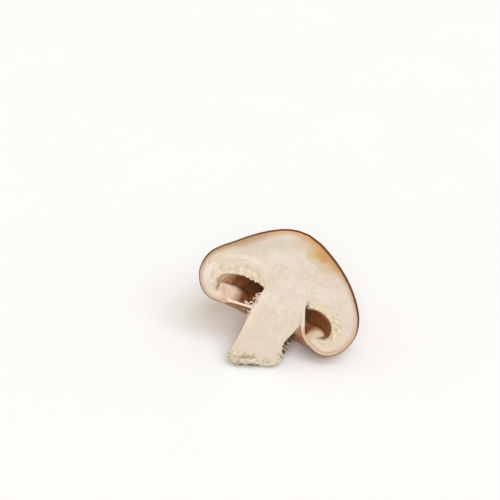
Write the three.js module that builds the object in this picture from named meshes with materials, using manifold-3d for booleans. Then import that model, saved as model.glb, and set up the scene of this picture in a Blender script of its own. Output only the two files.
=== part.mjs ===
// Half of a young shiitake mushroom, cut lengthwise through its cap and stem. All sizes are in millimetres.
//
// Growth frame, in which it is shaped: Z is the stem's axis with the top of the cap up, and the knife's cut is the
// plane Y = 0 with the flesh behind it, at Y > 0. Directions round the stem run from 0 at the right end of the cut
// (+X), over 90 at the back, to 180 at the left end.
// Rest frame, in which it is exported: the half stands on its foot and leans back on its rim, on the plane Z = 0,
// with the cut facing -Y and up.
import * as THREE from "three";
import { mergeVertices } from "three/addons/utils/BufferGeometryUtils.js";
import Module from "manifold-3d";

// The outside along each end of the cut, from the top of the cap, over the skin, the rolled-in rim, the veil and the
// stem, to the middle of the foot: [distance from the stem's axis, height].
const RIGHT_OUTLINE = [
  [0, 27.0], [4.8, 26.1], [9.2, 24.4], [13.4, 22.4], [17.6, 19.8], [21.6, 16.6], [25.2, 12.8], [27.8, 8.8],
  [29.0, 4.6], [28.7, 0.9], [27.6, -2.4], [25.6, -5.2], [23.1, -6.8], [20.4, -7.3], [17.9, -6.8], [15.6, -5.8],
  [13.5, -4.4], [11.8, -2.4], [10.2, 0.8], [8.9, 3.2], [8.5, 1.2], [8.5, -4.0], [8.6, -9.5], [9.6, -12.2],
  [10.3, -14.4], [9.6, -16.6], [5.5, -18.8], [0, -20.7],
];
const LEFT_OUTLINE = [
  [0, 27.0], [4.6, 26.4], [8.6, 24.8], [13.8, 21.3], [17.9, 17.6], [21.3, 14.0], [24.4, 10.8], [26.9, 7.4],
  [27.9, 3.6], [27.6, 0.2], [26.5, -2.3], [25.0, -4.4], [22.9, -6.0], [20.4, -6.8], [17.9, -6.8], [15.6, -6.2],
  [13.9, -5.3], [11.4, -4.6], [8.8, -4.1], [6.2, -3.9], [5.9, -5.4], [5.9, -9.5], [5.9, -14.5], [6.0, -18.4],
  [5.8, -21.0], [5.2, -21.9], [2.6, -21.5], [0, -20.7],
];
// The hollow under the cap: along the flesh that carries the gills, into the crease of the rolled rim, over the
// rim's rolled tip, and along the inside of the veil back to the stem.
const RIGHT_HOLLOW = [
  [9.7, 5.8], [10.8, 7.3], [13.3, 8.5], [16.8, 8.9], [20.2, 8.1], [22.4, 6.2], [23.7, 3.6], [23.6, 1.0],
  [22.7, -1.2], [21.0, -2.7], [18.9, -3.2], [17.2, -2.7], [18.4, -2.1], [19.7, -1.2], [19.4, -0.1], [17.9, 0.5],
  [16.1, 0.1], [14.8, -1.5], [13.9, -3.3], [12.9, -2.1], [11.6, 0.6], [10.4, 3.2], [9.8, 4.6],
];
const LEFT_HOLLOW = [
  [5.5, 5.0], [6.9, 7.2], [9.6, 8.7], [13.3, 9.1], [17.3, 8.1], [20.7, 6.0], [22.9, 3.4], [23.6, 0.9],
  [23.1, -1.3], [21.8, -2.9], [20.4, -3.3], [19.5, -2.9], [19.9, -2.1], [20.1, -1.1], [19.4, -0.2], [17.9, 0.2],
  [16.2, -0.2], [15.0, -1.5], [14.0, -3.7], [11.6, -3.4], [8.8, -3.0], [6.6, -2.4], [5.8, 1.2],
];
// The gills' free edge, point for point below the start of the hollow's line.
const RIGHT_GILL_EDGE = [
  [9.1, 5.0], [10.9, 5.3], [13.0, 5.7], [15.6, 5.7], [18.2, 4.9], [20.1, 3.5], [21.1, 1.6], [21.2, 0.1],
  [20.8, -1.0], [20.2, -1.9],
];
const LEFT_GILL_EDGE = [
  [5.0, 4.2], [7.4, 4.9], [10.2, 4.9], [13.3, 4.9], [16.2, 4.2], [18.6, 3.0], [20.2, 1.6], [20.8, 0.2],
  [20.8, -1.0], [20.6, -1.8],
];

// The rim is not quite round: three slight swellings round the back, two of which it rests on.
const SWELLING = 0.016; // share of the distance from the axis by which the rim swells and shrinks
const SWELLINGS_ROUND = 6.5; // how many of them a whole turn would have
const FIRST_SWELLING = 23; // direction of the first one, in degrees
const GILL_THICKNESS = 0.7;
const GILL_SUNK = 0.9; // how far a gill's root is sunk in the flesh
const FULL_GILLS = 15; // spaces between the gills that reach from the rim to the stem, round the half
const SHORT_GILL_START = 3.4; // where the gills between them begin, counted in points of the gill edge

// The two tears in the veil beside the stem: [direction in degrees, distance from the axis, height], and their size
// across, along the veil's ring, and through it.
const TEARS = [
  { at: [58, 10.4, 0.2], size: [2.6, 8.0, 7.0], slope: 58 },
  { at: [122, 9.2, -2.6], size: [3.0, 9.5, 7.0], slope: 30 },
];

const LEAN = 39; // angle of the stem's axis from upright at rest, in degrees
const TURN = 55; // the direction round the stem that points down at rest, in degrees
// Where the growth frame's origin lands at rest, so that the half stands centred over the rest frame's origin.
const RESTING_PLACE = new THREE.Vector3(-1.93, -8.73, 18.65);
const PRESS = 0.3; // height over which the skin flattens where it meets the floor
const FOOT_TRIM = 0.1; // depth of the flat that the resting places are worn to

const OUTLINE_STEPS = 42;
const HOLLOW_STEPS = 34;
const GILL_STEPS = 6;
const ROUND_STEPS = 26;
const OVERRUN = 7; // degrees by which the shapes run past the knife's plane before it cuts them

const FLESH = new THREE.MeshStandardMaterial({ color: 0xe6d3bf, roughness: 0.75, metalness: 0 });

const wasm = await Module();
wasm.setup();

const radians = THREE.MathUtils.degToRad;

/** Share of the right-hand outline in the section at a direction round the stem. */
function rightShare(angle) {
  return (1 + Math.cos(angle)) / 2;
}

/** Points of the section at a direction round the stem, between the two ends of the cut. */
function sectionPoints(right, left, angle) {
  const share = rightShare(angle);
  const behind = THREE.MathUtils.smoothstep(Math.sin(angle), 0, 0.5);
  const wave = SWELLING * behind * Math.cos(SWELLINGS_ROUND * (angle - radians(FIRST_SWELLING)));
  return right.map(([radius, height], i) => {
    const r = THREE.MathUtils.lerp(left[i][0], radius, share);
    const z = THREE.MathUtils.lerp(left[i][1], height, share);
    return new THREE.Vector3(r * (1 + wave * THREE.MathUtils.smoothstep(r, 12, 24)), 0, z);
  });
}

/** A smooth line through the points, sampled in even steps of its control points. */
function sampled(points, steps, closed) {
  const curve = new THREE.CatmullRomCurve3(points, closed, "centripetal");
  const count = closed ? steps : steps + 1;
  return Array.from({ length: count }, (_, i) => curve.getPoint(i / steps));
}

/** Turns a point of a section, at [distance, 0, height], to its direction round the stem. */
function placed(point, angle) {
  return [point.x * Math.cos(angle), point.x * Math.sin(angle), point.z];
}

/** A closed solid from rings of points: one ring for each direction round the stem, ends filled. */
function swept(ringAt, angles) {
  const rings = angles.map(ringAt);
  const size = rings[0].length;
  const positions = rings.flatMap((ring, i) => ring.flatMap((point) => placed(point, angles[i])));
  const faces = [];
  for (let i = 0; i + 1 < rings.length; i++) {
    for (let j = 0; j < size; j++) {
      const next = (j + 1) % size;
      const [a, b, c, d] = [i * size + j, i * size + next, (i + 1) * size + next, (i + 1) * size + j];
      faces.push(a, b, c, a, c, d);
    }
  }
  const last = (rings.length - 1) * size;
  const outline = (ring) => ring.map((point) => new THREE.Vector2(point.x, point.z));
  for (const [a, b, c] of THREE.ShapeUtils.triangulateShape(outline(rings[0]), [])) faces.push(a, b, c);
  for (const [a, b, c] of THREE.ShapeUtils.triangulateShape(outline(rings.at(-1)), [])) {
    faces.push(last + c, last + b, last + a);
  }
  const geometry = new THREE.BufferGeometry();
  geometry.setAttribute("position", new THREE.Float32BufferAttribute(positions, 3));
  geometry.setIndex(faces);
  return geometry;
}

/** Directions round the stem from one end of the cut to the other, running a little past both. */
function directions() {
  const [start, end] = [-radians(OVERRUN), Math.PI + radians(OVERRUN)];
  return Array.from({ length: ROUND_STEPS + 1 }, (_, i) => THREE.MathUtils.lerp(start, end, i / ROUND_STEPS));
}

/** The matrix that sets the growth frame down in its rest position. */
function restMatrix() {
  const [lean, turn] = [radians(LEAN), radians(TURN)];
  const down = new THREE.Vector3(Math.sin(lean) * Math.cos(turn), Math.sin(lean) * Math.sin(turn), -Math.cos(lean));
  const up = down.clone().negate();
  const back = new THREE.Vector3(0, 1, 0).addScaledVector(up, -up.y).normalize();
  const right = back.clone().cross(up);
  return new THREE.Matrix4().makeBasis(right, back, up).transpose().setPosition(RESTING_PLACE);
}
const REST = restMatrix();

/** A closed geometry as a solid in the rest frame. */
function solid(geometry) {
  const bare = new THREE.BufferGeometry().setAttribute("position", geometry.getAttribute("position"));
  if (geometry.index) bare.setIndex(geometry.index);
  const merged = mergeVertices(bare, 1e-4);
  const triangles = [];
  for (let i = 0; i < merged.index.count; i += 3) {
    const [a, b, c] = [0, 1, 2].map((k) => merged.index.getX(i + k));
    if (a !== b && b !== c && a !== c) triangles.push(a, b, c);
  }
  const mesh = new wasm.Mesh({
    numProp: 3,
    vertProperties: Float32Array.from(merged.getAttribute("position").array),
    triVerts: new Uint32Array(triangles),
  });
  return new wasm.Manifold(mesh);
}

/** Flattens a geometry of the rest frame softly where it would sink into the floor. */
function pressed(geometry) {
  const position = geometry.getAttribute("position");
  for (let i = 0; i < position.count; i++) {
    const height = position.getZ(i);
    position.setZ(i, (height + Math.hypot(height, PRESS)) / 2);
  }
  return geometry;
}

/** Cap, rim, veil and stem as one closed body, with no hollow yet. */
function outside() {
  const ring = (angle) => sampled(sectionPoints(RIGHT_OUTLINE, LEFT_OUTLINE, angle), OUTLINE_STEPS, false);
  return solid(pressed(swept(ring, directions()).applyMatrix4(REST)));
}

/** The ring-shaped space under the cap. */
function hollow() {
  const ring = (angle) => sampled(sectionPoints(RIGHT_HOLLOW, LEFT_HOLLOW, angle), HOLLOW_STEPS, true);
  return solid(swept(ring, directions()).applyMatrix4(REST));
}

/** One gill: a thin blade that hangs from the flesh, from a point of the gill edge out to the rim. */
function gill(angle, start, thickness) {
  const edge = sectionPoints(RIGHT_GILL_EDGE, LEFT_GILL_EDGE, angle);
  const root = sectionPoints(RIGHT_HOLLOW, LEFT_HOLLOW, angle).slice(0, edge.length);
  const edgeCurve = new THREE.CatmullRomCurve3(edge, false, "centripetal");
  const rootCurve = new THREE.CatmullRomCurve3(root, false, "centripetal");
  const outline = [];
  const inner = [];
  for (let i = 0; i <= GILL_STEPS; i++) {
    const t = THREE.MathUtils.lerp(start / (edge.length - 1), 1, i / GILL_STEPS);
    const [low, high] = [edgeCurve.getPoint(t), rootCurve.getPoint(t)];
    const sunk = high.clone().addScaledVector(high.clone().sub(low).normalize(), GILL_SUNK);
    outline.push(new THREE.Vector2(sunk.x, sunk.z));
    inner.unshift(new THREE.Vector2(low.x, low.z));
  }
  const blade = new THREE.ExtrudeGeometry(new THREE.Shape([...outline, ...inner]), {
    depth: thickness,
    bevelEnabled: false,
  });
  blade.translate(0, 0, -thickness / 2).rotateX(Math.PI / 2).rotateZ(angle);
  return solid(blade.applyMatrix4(REST));
}

/** Every gill of the half: full ones, the end two of them split by the cut, and short ones between them. */
function gills() {
  const blades = [];
  const step = Math.PI / FULL_GILLS;
  for (let i = 0; i <= FULL_GILLS; i++) {
    const split = i === 0 || i === FULL_GILLS;
    blades.push(gill(i * step, 0, split ? 2 * GILL_THICKNESS : GILL_THICKNESS));
    if (i < FULL_GILLS) blades.push(gill((i + 0.5) * step, SHORT_GILL_START, GILL_THICKNESS));
  }
  return blades.reduce((all, blade) => all.add(blade));
}

/** A lens-shaped tear through the veil beside the stem. */
function tear({ at: [direction, radius, height], size: [across, along, through], slope }) {
  const lens = new THREE.SphereGeometry(0.5, 12, 8);
  lens.scale(across, along, through).rotateY(radians(slope)).translate(radius, 0, height).rotateZ(radians(direction));
  return solid(lens.applyMatrix4(REST));
}

/** A large block on the far side of a plane, in front of the knife's cut or under the floor. */
function blockBeyond(normal, distance, frame) {
  const SIDE = 200;
  const block = new THREE.BoxGeometry(SIDE, SIDE, SIDE);
  block.translate(...normal.clone().multiplyScalar(SIDE / 2 + distance).toArray());
  return solid(block.applyMatrix4(frame));
}

/** The whole half mushroom, resting on the floor. */
function mushroomHalf() {
  let half = outside().subtract(hollow()).add(gills());
  for (const place of TEARS) half = half.subtract(tear(place));
  half = half.subtract(blockBeyond(new THREE.Vector3(0, -1, 0), 0, REST));
  half = half.subtract(blockBeyond(new THREE.Vector3(0, 0, -1), -FOOT_TRIM, new THREE.Matrix4()));
  const { vertProperties, triVerts } = half.getMesh();
  const geometry = new THREE.BufferGeometry();
  geometry.setAttribute("position", new THREE.BufferAttribute(vertProperties, 3));
  geometry.setIndex(new THREE.BufferAttribute(triVerts, 1));
  geometry.translate(0, 0, -FOOT_TRIM);
  const mesh = new THREE.Mesh(geometry, FLESH);
  mesh.name = "mushroom_half";
  return mesh;
}

const part = new THREE.Group();
part.add(mushroomHalf());
export default part;
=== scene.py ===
"""The looks of half a young mushroom: skin, cut flesh, gills, veil, stem and foot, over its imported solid.

Shapes are worked out in the growth frame, in millimetres: Z is the stem's axis with the cap up, the knife's
cut is the plane Y = 0 and the flesh lies behind it. Directions round the stem run from 0 at the right end
of the cut to 180 degrees at the left end. Each piece is then settled into the row frame, in metres, where
the half rests.
"""

import logging
import math
import random
from dataclasses import dataclass, field
from enum import Enum

import bpy
import numpy as np
from mathutils import Matrix, Vector, geometry, noise


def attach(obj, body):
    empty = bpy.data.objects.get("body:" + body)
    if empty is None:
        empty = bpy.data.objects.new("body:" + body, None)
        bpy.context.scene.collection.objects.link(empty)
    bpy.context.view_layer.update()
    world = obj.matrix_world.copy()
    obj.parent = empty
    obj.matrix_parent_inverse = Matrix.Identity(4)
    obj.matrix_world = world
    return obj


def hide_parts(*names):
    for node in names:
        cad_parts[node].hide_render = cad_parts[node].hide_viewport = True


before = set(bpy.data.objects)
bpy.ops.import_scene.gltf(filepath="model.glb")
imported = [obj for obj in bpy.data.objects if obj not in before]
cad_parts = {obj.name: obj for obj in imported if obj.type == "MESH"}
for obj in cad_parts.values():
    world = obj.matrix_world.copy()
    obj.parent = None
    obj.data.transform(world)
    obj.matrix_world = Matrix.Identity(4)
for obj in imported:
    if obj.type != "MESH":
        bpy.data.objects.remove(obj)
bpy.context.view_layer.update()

Array = np.ndarray
Material = bpy.types.Material
Piece = bpy.types.Object

LOG = logging.getLogger("mushroom")
MM = 0.001
NODE = "mushroom_half"

# Sections along both ends of the cut: [distance from the stem's axis, height].
RIGHT_OUTLINE = (
    (0, 27.0), (4.8, 26.1), (9.2, 24.4), (13.4, 22.4), (17.6, 19.8), (21.6, 16.6), (25.2, 12.8),
    (27.8, 8.8), (29.0, 4.6), (28.7, 0.9), (27.6, -2.4), (25.6, -5.2), (23.1, -6.8), (20.4, -7.3),
    (17.9, -6.8), (15.6, -5.8), (13.5, -4.4), (11.8, -2.4), (10.2, 0.8), (8.9, 3.2), (8.5, 1.2),
    (8.5, -4.0), (8.6, -9.5), (9.6, -12.2), (10.3, -14.4), (9.6, -16.6), (5.5, -18.8), (0, -20.7),
)
LEFT_OUTLINE = (
    (0, 27.0), (4.6, 26.4), (8.6, 24.8), (13.8, 21.3), (17.9, 17.6), (21.3, 14.0), (24.4, 10.8),
    (26.9, 7.4), (27.9, 3.6), (27.6, 0.2), (26.5, -2.3), (25.0, -4.4), (22.9, -6.0), (20.4, -6.8),
    (17.9, -6.8), (15.6, -6.2), (13.9, -5.3), (11.4, -4.6), (8.8, -4.1), (6.2, -3.9), (5.9, -5.4),
    (5.9, -9.5), (5.9, -14.5), (6.0, -18.4), (5.8, -21.0), (5.2, -21.9), (2.6, -21.5), (0, -20.7),
)
RIGHT_HOLLOW = (
    (9.7, 5.8), (10.8, 7.3), (13.3, 8.5), (16.8, 8.9), (20.2, 8.1), (22.4, 6.2), (23.7, 3.6), (23.6, 1.0),
    (22.7, -1.2), (21.0, -2.7), (18.9, -3.2), (17.2, -2.7), (18.4, -2.1), (19.7, -1.2), (19.4, -0.1),
    (17.9, 0.5), (16.1, 0.1), (14.8, -1.5), (13.9, -3.3), (12.9, -2.1), (11.6, 0.6), (10.4, 3.2),
    (9.8, 4.6),
)
LEFT_HOLLOW = (
    (5.5, 5.0), (6.9, 7.2), (9.6, 8.7), (13.3, 9.1), (17.3, 8.1), (20.7, 6.0), (22.9, 3.4), (23.6, 0.9),
    (23.1, -1.3), (21.8, -2.9), (20.4, -3.3), (19.5, -2.9), (19.9, -2.1), (20.1, -1.1), (19.4, -0.2),
    (17.9, 0.2), (16.2, -0.2), (15.0, -1.5), (14.0, -3.7), (11.6, -3.4), (8.8, -3.0), (6.6, -2.4),
    (5.8, 1.2),
)
RIGHT_GILL_EDGE = (
    (10.05, 6.7), (10.45, 5.5), (12.9, 5.75), (15.6, 5.75), (18.2, 4.9), (20.1, 3.5), (21.1, 1.6),
    (21.2, 0.1), (20.7, -1.0), (20.05, -1.7), (18.9, -2.1), (17.5, -2.5),
)
LEFT_GILL_EDGE = (
    (5.0, 4.2), (7.4, 4.9), (10.2, 4.9), (13.3, 4.9), (16.2, 4.2), (18.6, 3.0), (20.2, 1.6), (20.6, 0.15),
    (20.05, -0.95), (19.6, -1.8), (19.4, -2.5), (19.3, -3.0),
)
# How the rolled rim swells, and the gills hang lower, close behind the cut: [point, outward, up].
RIGHT_ROLL = ((15, -0.1, 0.2), (16, -0.3, 0.3), (17, -0.4, 0.3), (18, -0.2, 0.3))
LEFT_ROLL = (
    (15, -0.6, 0.1), (16, -1.9, 0.6), (17, -2.9, 0.9), (18, -3.1, 0.1), (19, -2.2, 0.1), (20, -0.8, 0.0),
)
LEFT_CURL = ((12, -0.65, 0.0), (13, -0.6, -0.1), (14, -0.35, -0.35), (15, 0.0, -0.35))
LEFT_THIN = (
    (16, 0.2, 0.0), (17, 0.2, 0.0), (18, 0.1, -0.3), (19, 0.0, -0.4), (20, 0.0, -0.35), (21, 0.0, -0.15),
)
RIGHT_DROOP = (
    (0, 0.2, -1.3), (1, 0.0, -0.9), (2, 0.0, -0.5), (3, 0.0, -0.5), (4, -0.2, -0.5), (5, -0.4, -0.3),
    (6, -0.4, 0.0),
)
LEFT_DROOP = (
    (3, 0.0, -0.2), (4, -1.0, -0.3), (5, -2.6, -0.4), (6, -4.0, -0.4), (7, -3.9, -0.2), (8, -2.2, 0.4),
    (9, -0.9, 0.2), (10, -0.5, 0.0),
)
# How the flesh closes the top of the right cleft at the cut: [outline point, outward, up].
RIGHT_WEB = (
    (17, 0.1, -0.3), (18, 1.1, -2.3), (19, 1.9, -4.3), (20, 1.95, -3.4), (21, 1.4, -0.6), (22, 0.15, 0.2),
)
# The cleft left between the stem and the veil: [distance from the axis, height] along its two sides.
CLEFT_STEM = ((10.8, -0.8), (10.4, -2.2), (9.9, -4.6), (9.2, -6.8))
CLEFT_VEIL = ((10.8, -0.8), (11.3, -1.5), (11.9, -2.7), (13.5, -4.4), (15.6, -5.8))
CLEFT_SEAM = ((8.9, 3.4), (9.9, 1.3), (10.8, -1.1))
# Ridges of torn flesh on the foot's cut, across and up.
FOOT_RIDGES = (
    ((-5.2, -20.0), (-3.1, -18.7), (-1.6, -17.6), (1.1, -17.0), (2.7, -16.9)),
    ((-1.1, -20.2), (1.3, -19.7), (3.5, -17.8), (5.5, -17.4), (7.9, -16.9)),
    ((8.9, -15.6), (10.3, -14.0), (9.8, -12.7)),
)
# Curly strips of torn veil, across, depth and up.
STRIPS = (
    ((-9.0, -0.1, -2.3), (-8.0, -0.3, -2.7), (-7.6, 0.0, -3.2)),
    ((-7.9, 0.0, -3.1), (-7.5, -0.4, -2.0), (-6.8, -0.5, -1.6), (-6.1, 0.0, -2.4)),
    (
        (-7.1, -0.1, 1.1), (-6.3, -0.3, 1.1), (-6.1, -0.3, 0.0), (-5.4, -0.4, 0.1), (-5.3, -0.3, -1.0),
        (-5.9, 0.0, -1.6),
    ),
    ((-6.0, 0.1, -2.0), (-5.9, -0.3, -1.1), (-6.4, -0.2, -0.6)),
    ((-5.5, 0.1, 2.3), (-6.5, -0.2, 1.8), (-6.8, -0.3, 1.0), (-6.1, -0.1, 0.5)),
    ((-5.6, 0.2, 0.9), (-6.4, -0.2, 0.1), (-7.1, -0.2, -0.2), (-7.0, -0.1, -0.9)),
    ((-5.6, 0.2, -4.4), (-5.8, -0.2, -5.7), (-6.6, -0.1, -6.0)),
    ((-5.7, 0.2, -5.9), (-6.0, -0.2, -6.9), (-6.2, -0.1, -7.8)),
    ((-5.8, 0.2, -4.9), (-6.5, -0.1, -5.1), (-7.3, 0.0, -4.8)),
)
# The stem's right edge at the cut: [height, distance from the axis].
STEM_EDGE = ((-16.6, 9.6), (-14.4, 10.3), (-12.2, 9.6), (-9.3, 8.75), (-6.8, 9.2), (-4.6, 9.9))
# The foot's lower edge at the cut, under its left corner and under its front: [across, height].
FOOT_CORNER = ((-5.2, -21.6), (-3.0, -22.7), (0.4, -21.1), (4.0, -19.4))
FOOT_FRONT = ((-2.6, -22.75), (4.6, -19.55))
# Places along the outline, counted in its points.
SKIN_END = 14.7
STEM_TOP = 19.4
FOOT_START = 22.6
# Places along the hollow.
LOBE_START = 12.0
LOBE_END = 18.4
GILL_ENDS = 11.0
# How deep the browned flesh under the skin goes: [degrees round the cap from its top, millimetres].
RIND_WIDTH = (
    (-130, 1.0), (-100, 1.2), (-87, 1.9), (-72, 2.8), (-60, 3.9), (-46, 4.0), (-30, 2.7), (-17, 1.9),
    (-6, 2.2), (6, 2.8), (18, 3.2), (30, 3.4), (40, 3.1), (48, 2.5), (66, 2.0), (92, 2.0), (120, 2.0),
)
# How warm the browned flesh is, and where the bruise's flush lies: [degrees round the cap, share].
RIND_WARMTH = ((-20, 0), (-6, 0.3), (6, 0.7), (18, 1), (36, 1), (46, 0.7), (56, 0))
FLUSH = ((-18, 0), (-4, 1), (36, 1), (46, 0))
# Each line at the right and the left end of the cut.
OUTLINE = (RIGHT_OUTLINE, LEFT_OUTLINE)
HOLLOW = (RIGHT_HOLLOW, LEFT_HOLLOW)
GILL_EDGE = (RIGHT_GILL_EDGE, LEFT_GILL_EDGE)
# What swells close behind the cut: the moves, whether they are at the left end, and how many degrees behind
# the cut they are whole, begin to fade and end.
OUTLINE_BULGES = ((RIGHT_WEB, False, (0, 5, 32)),)
HOLLOW_BULGES = (
    (RIGHT_ROLL, False, (14, 38, 64)),
    (LEFT_ROLL, True, (24, 38, 64)),
    (LEFT_THIN, True, (0, 20, 50)),
    (LEFT_CURL, True, (0, 12, 40)),
)
GILL_BULGES = ((RIGHT_DROOP, False, (8, 38, 64)), (LEFT_DROOP, True, (13, 38, 64)))
OUTLINE_END = len(RIGHT_OUTLINE) - 1
MIRROR = np.array([-1, 1])  # turns the left end's points into x and z of the cut
LEVEL = (0.891, 0.454)  # the way across the cut that lies level at rest: right and up
CUT_DEPTH = 1.6  # how far behind the knife's plane the cut face reaches
FAR = 20.0  # the distance stored where there is no cut face
FULL_TURN = 6.28  # about once round, in radians
STUDIO_LIGHT = 1.35  # how many times its own colour a pale surface shows in the studio's light


class Tint(Enum):
    """Colours of the mushroom as they look in the studio, as sRGB from 0 to 255; those marked stand for
    painted light or shade.
    """

    IVORY = (236, 222, 206)
    ROSY = (230, 212, 195)
    CREAM = (228, 211, 187)
    GREYISH = (219, 207, 182)
    PEACH = (185, 143, 98)
    AMBER = (222, 166, 110)
    ROSE = (212, 176, 148)
    TAN = (204, 140, 54)
    UMBER = (126, 72, 28)
    BUFF = (240, 214, 172)
    # Painted light: lifts the hollow's deep far left and warms the veil's shaded right side.
    GLOW = (244, 158, 98)
    CHESTNUT = (160, 98, 62)
    FLUSH = (218, 189, 150)
    LOBE = (226, 184, 148)
    OLIVE_STAIN = (210, 182, 98)
    ORANGE_STAIN = (208, 148, 40)
    OLIVE_EDGE = (118, 92, 58)
    BROWN_EDGE = (104, 50, 14)
    TAN_EDGE = (132, 106, 80)
    SKIN_BROWN = (172, 104, 64)
    SKIN_TAN = (202, 142, 94)
    SKIN_PALE = (222, 182, 142)
    SKIN_FIBRIL = (128, 72, 42)
    GILL_CREAM = (236, 217, 189)
    GILL_TAN = (178, 119, 68)
    GILL_BROWN = (226, 140, 78)
    HOLLOW_BROWN = (212, 128, 74)
    VEIL = (188, 126, 76)
    STEM = (206, 166, 130)
    STEM_STREAK = (162, 112, 78)
    FOOT = (224, 206, 176)
    # Dirt specks, debris and pits, and also painted shade: a line along the gills, a crease under the skin
    # and a recess in the foot.
    DIRT = (138, 110, 78)
    DEBRIS = (78, 50, 26)
    CLEFT = (212, 154, 110)
    # Painted shade: the dark side of folds on the rolled rim, and the junction below the left lobe.
    FOLD = (208, 168, 138)
    BLOOM = (252, 230, 212)
    # Painted shade: the right lobe's rounded edge, the right wall beside the cut, and the corner under the
    # veil.
    RUSSET = (176, 108, 70)
    OLIVE = (200, 187, 154)
    THREAD = (252, 236, 220)
    FLOSS = (255, 224, 200)
    # Painted shade in creases: on the right lobe and near the cut gills' free edge.
    HUSK = (176, 160, 124)
    RIND = (236, 202, 176)
    RIBBON = (253, 232, 204)

    def linear(self) -> tuple:
        """The surface's own colour: linear red, green, blue and an alpha of 1."""
        shares = [level / 255 for level in self.value]
        linear = [s / 12.92 if s <= 0.04045 else ((s + 0.055) / 1.055) ** 2.4 for s in shares]
        return (*[level / STUDIO_LIGHT for level in linear], 1.0)


class Wire:
    """A number's socket in a node tree. The arithmetic operators add Math nodes."""

    def __init__(self, nodes: "Nodes", socket: bpy.types.NodeSocket) -> None:
        """Wraps a socket of a tree."""
        self.nodes = nodes
        self.socket = socket

    def math(self, operation: str, first: object, second: object = None) -> "Wire":
        """Adds a Math node.

        Args:
            operation: the node's operation.
            first: its first number or Wire.
            second: its second number or Wire, if it takes two.

        Returns:
            The node's result.
        """
        values = {0: first} if second is None else {0: first, 1: second}
        return self.nodes.add("ShaderNodeMath", {"operation": operation}, values)

    def __add__(self, other: object) -> "Wire":
        """self + other."""
        return self.math("ADD", self, other)

    def __radd__(self, other: object) -> "Wire":
        """other + self."""
        return self.math("ADD", other, self)

    def __sub__(self, other: object) -> "Wire":
        """self - other."""
        return self.math("SUBTRACT", self, other)

    def __rsub__(self, other: object) -> "Wire":
        """other - self."""
        return self.math("SUBTRACT", other, self)

    def __mul__(self, other: object) -> "Wire":
        """self * other."""
        return self.math("MULTIPLY", self, other)

    def __rmul__(self, other: object) -> "Wire":
        """other * self."""
        return self.math("MULTIPLY", other, self)

    def __truediv__(self, other: object) -> "Wire":
        """self / other."""
        return self.math("DIVIDE", self, other)

    def __rtruediv__(self, other: object) -> "Wire":
        """other / self."""
        return self.math("DIVIDE", other, self)


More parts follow.
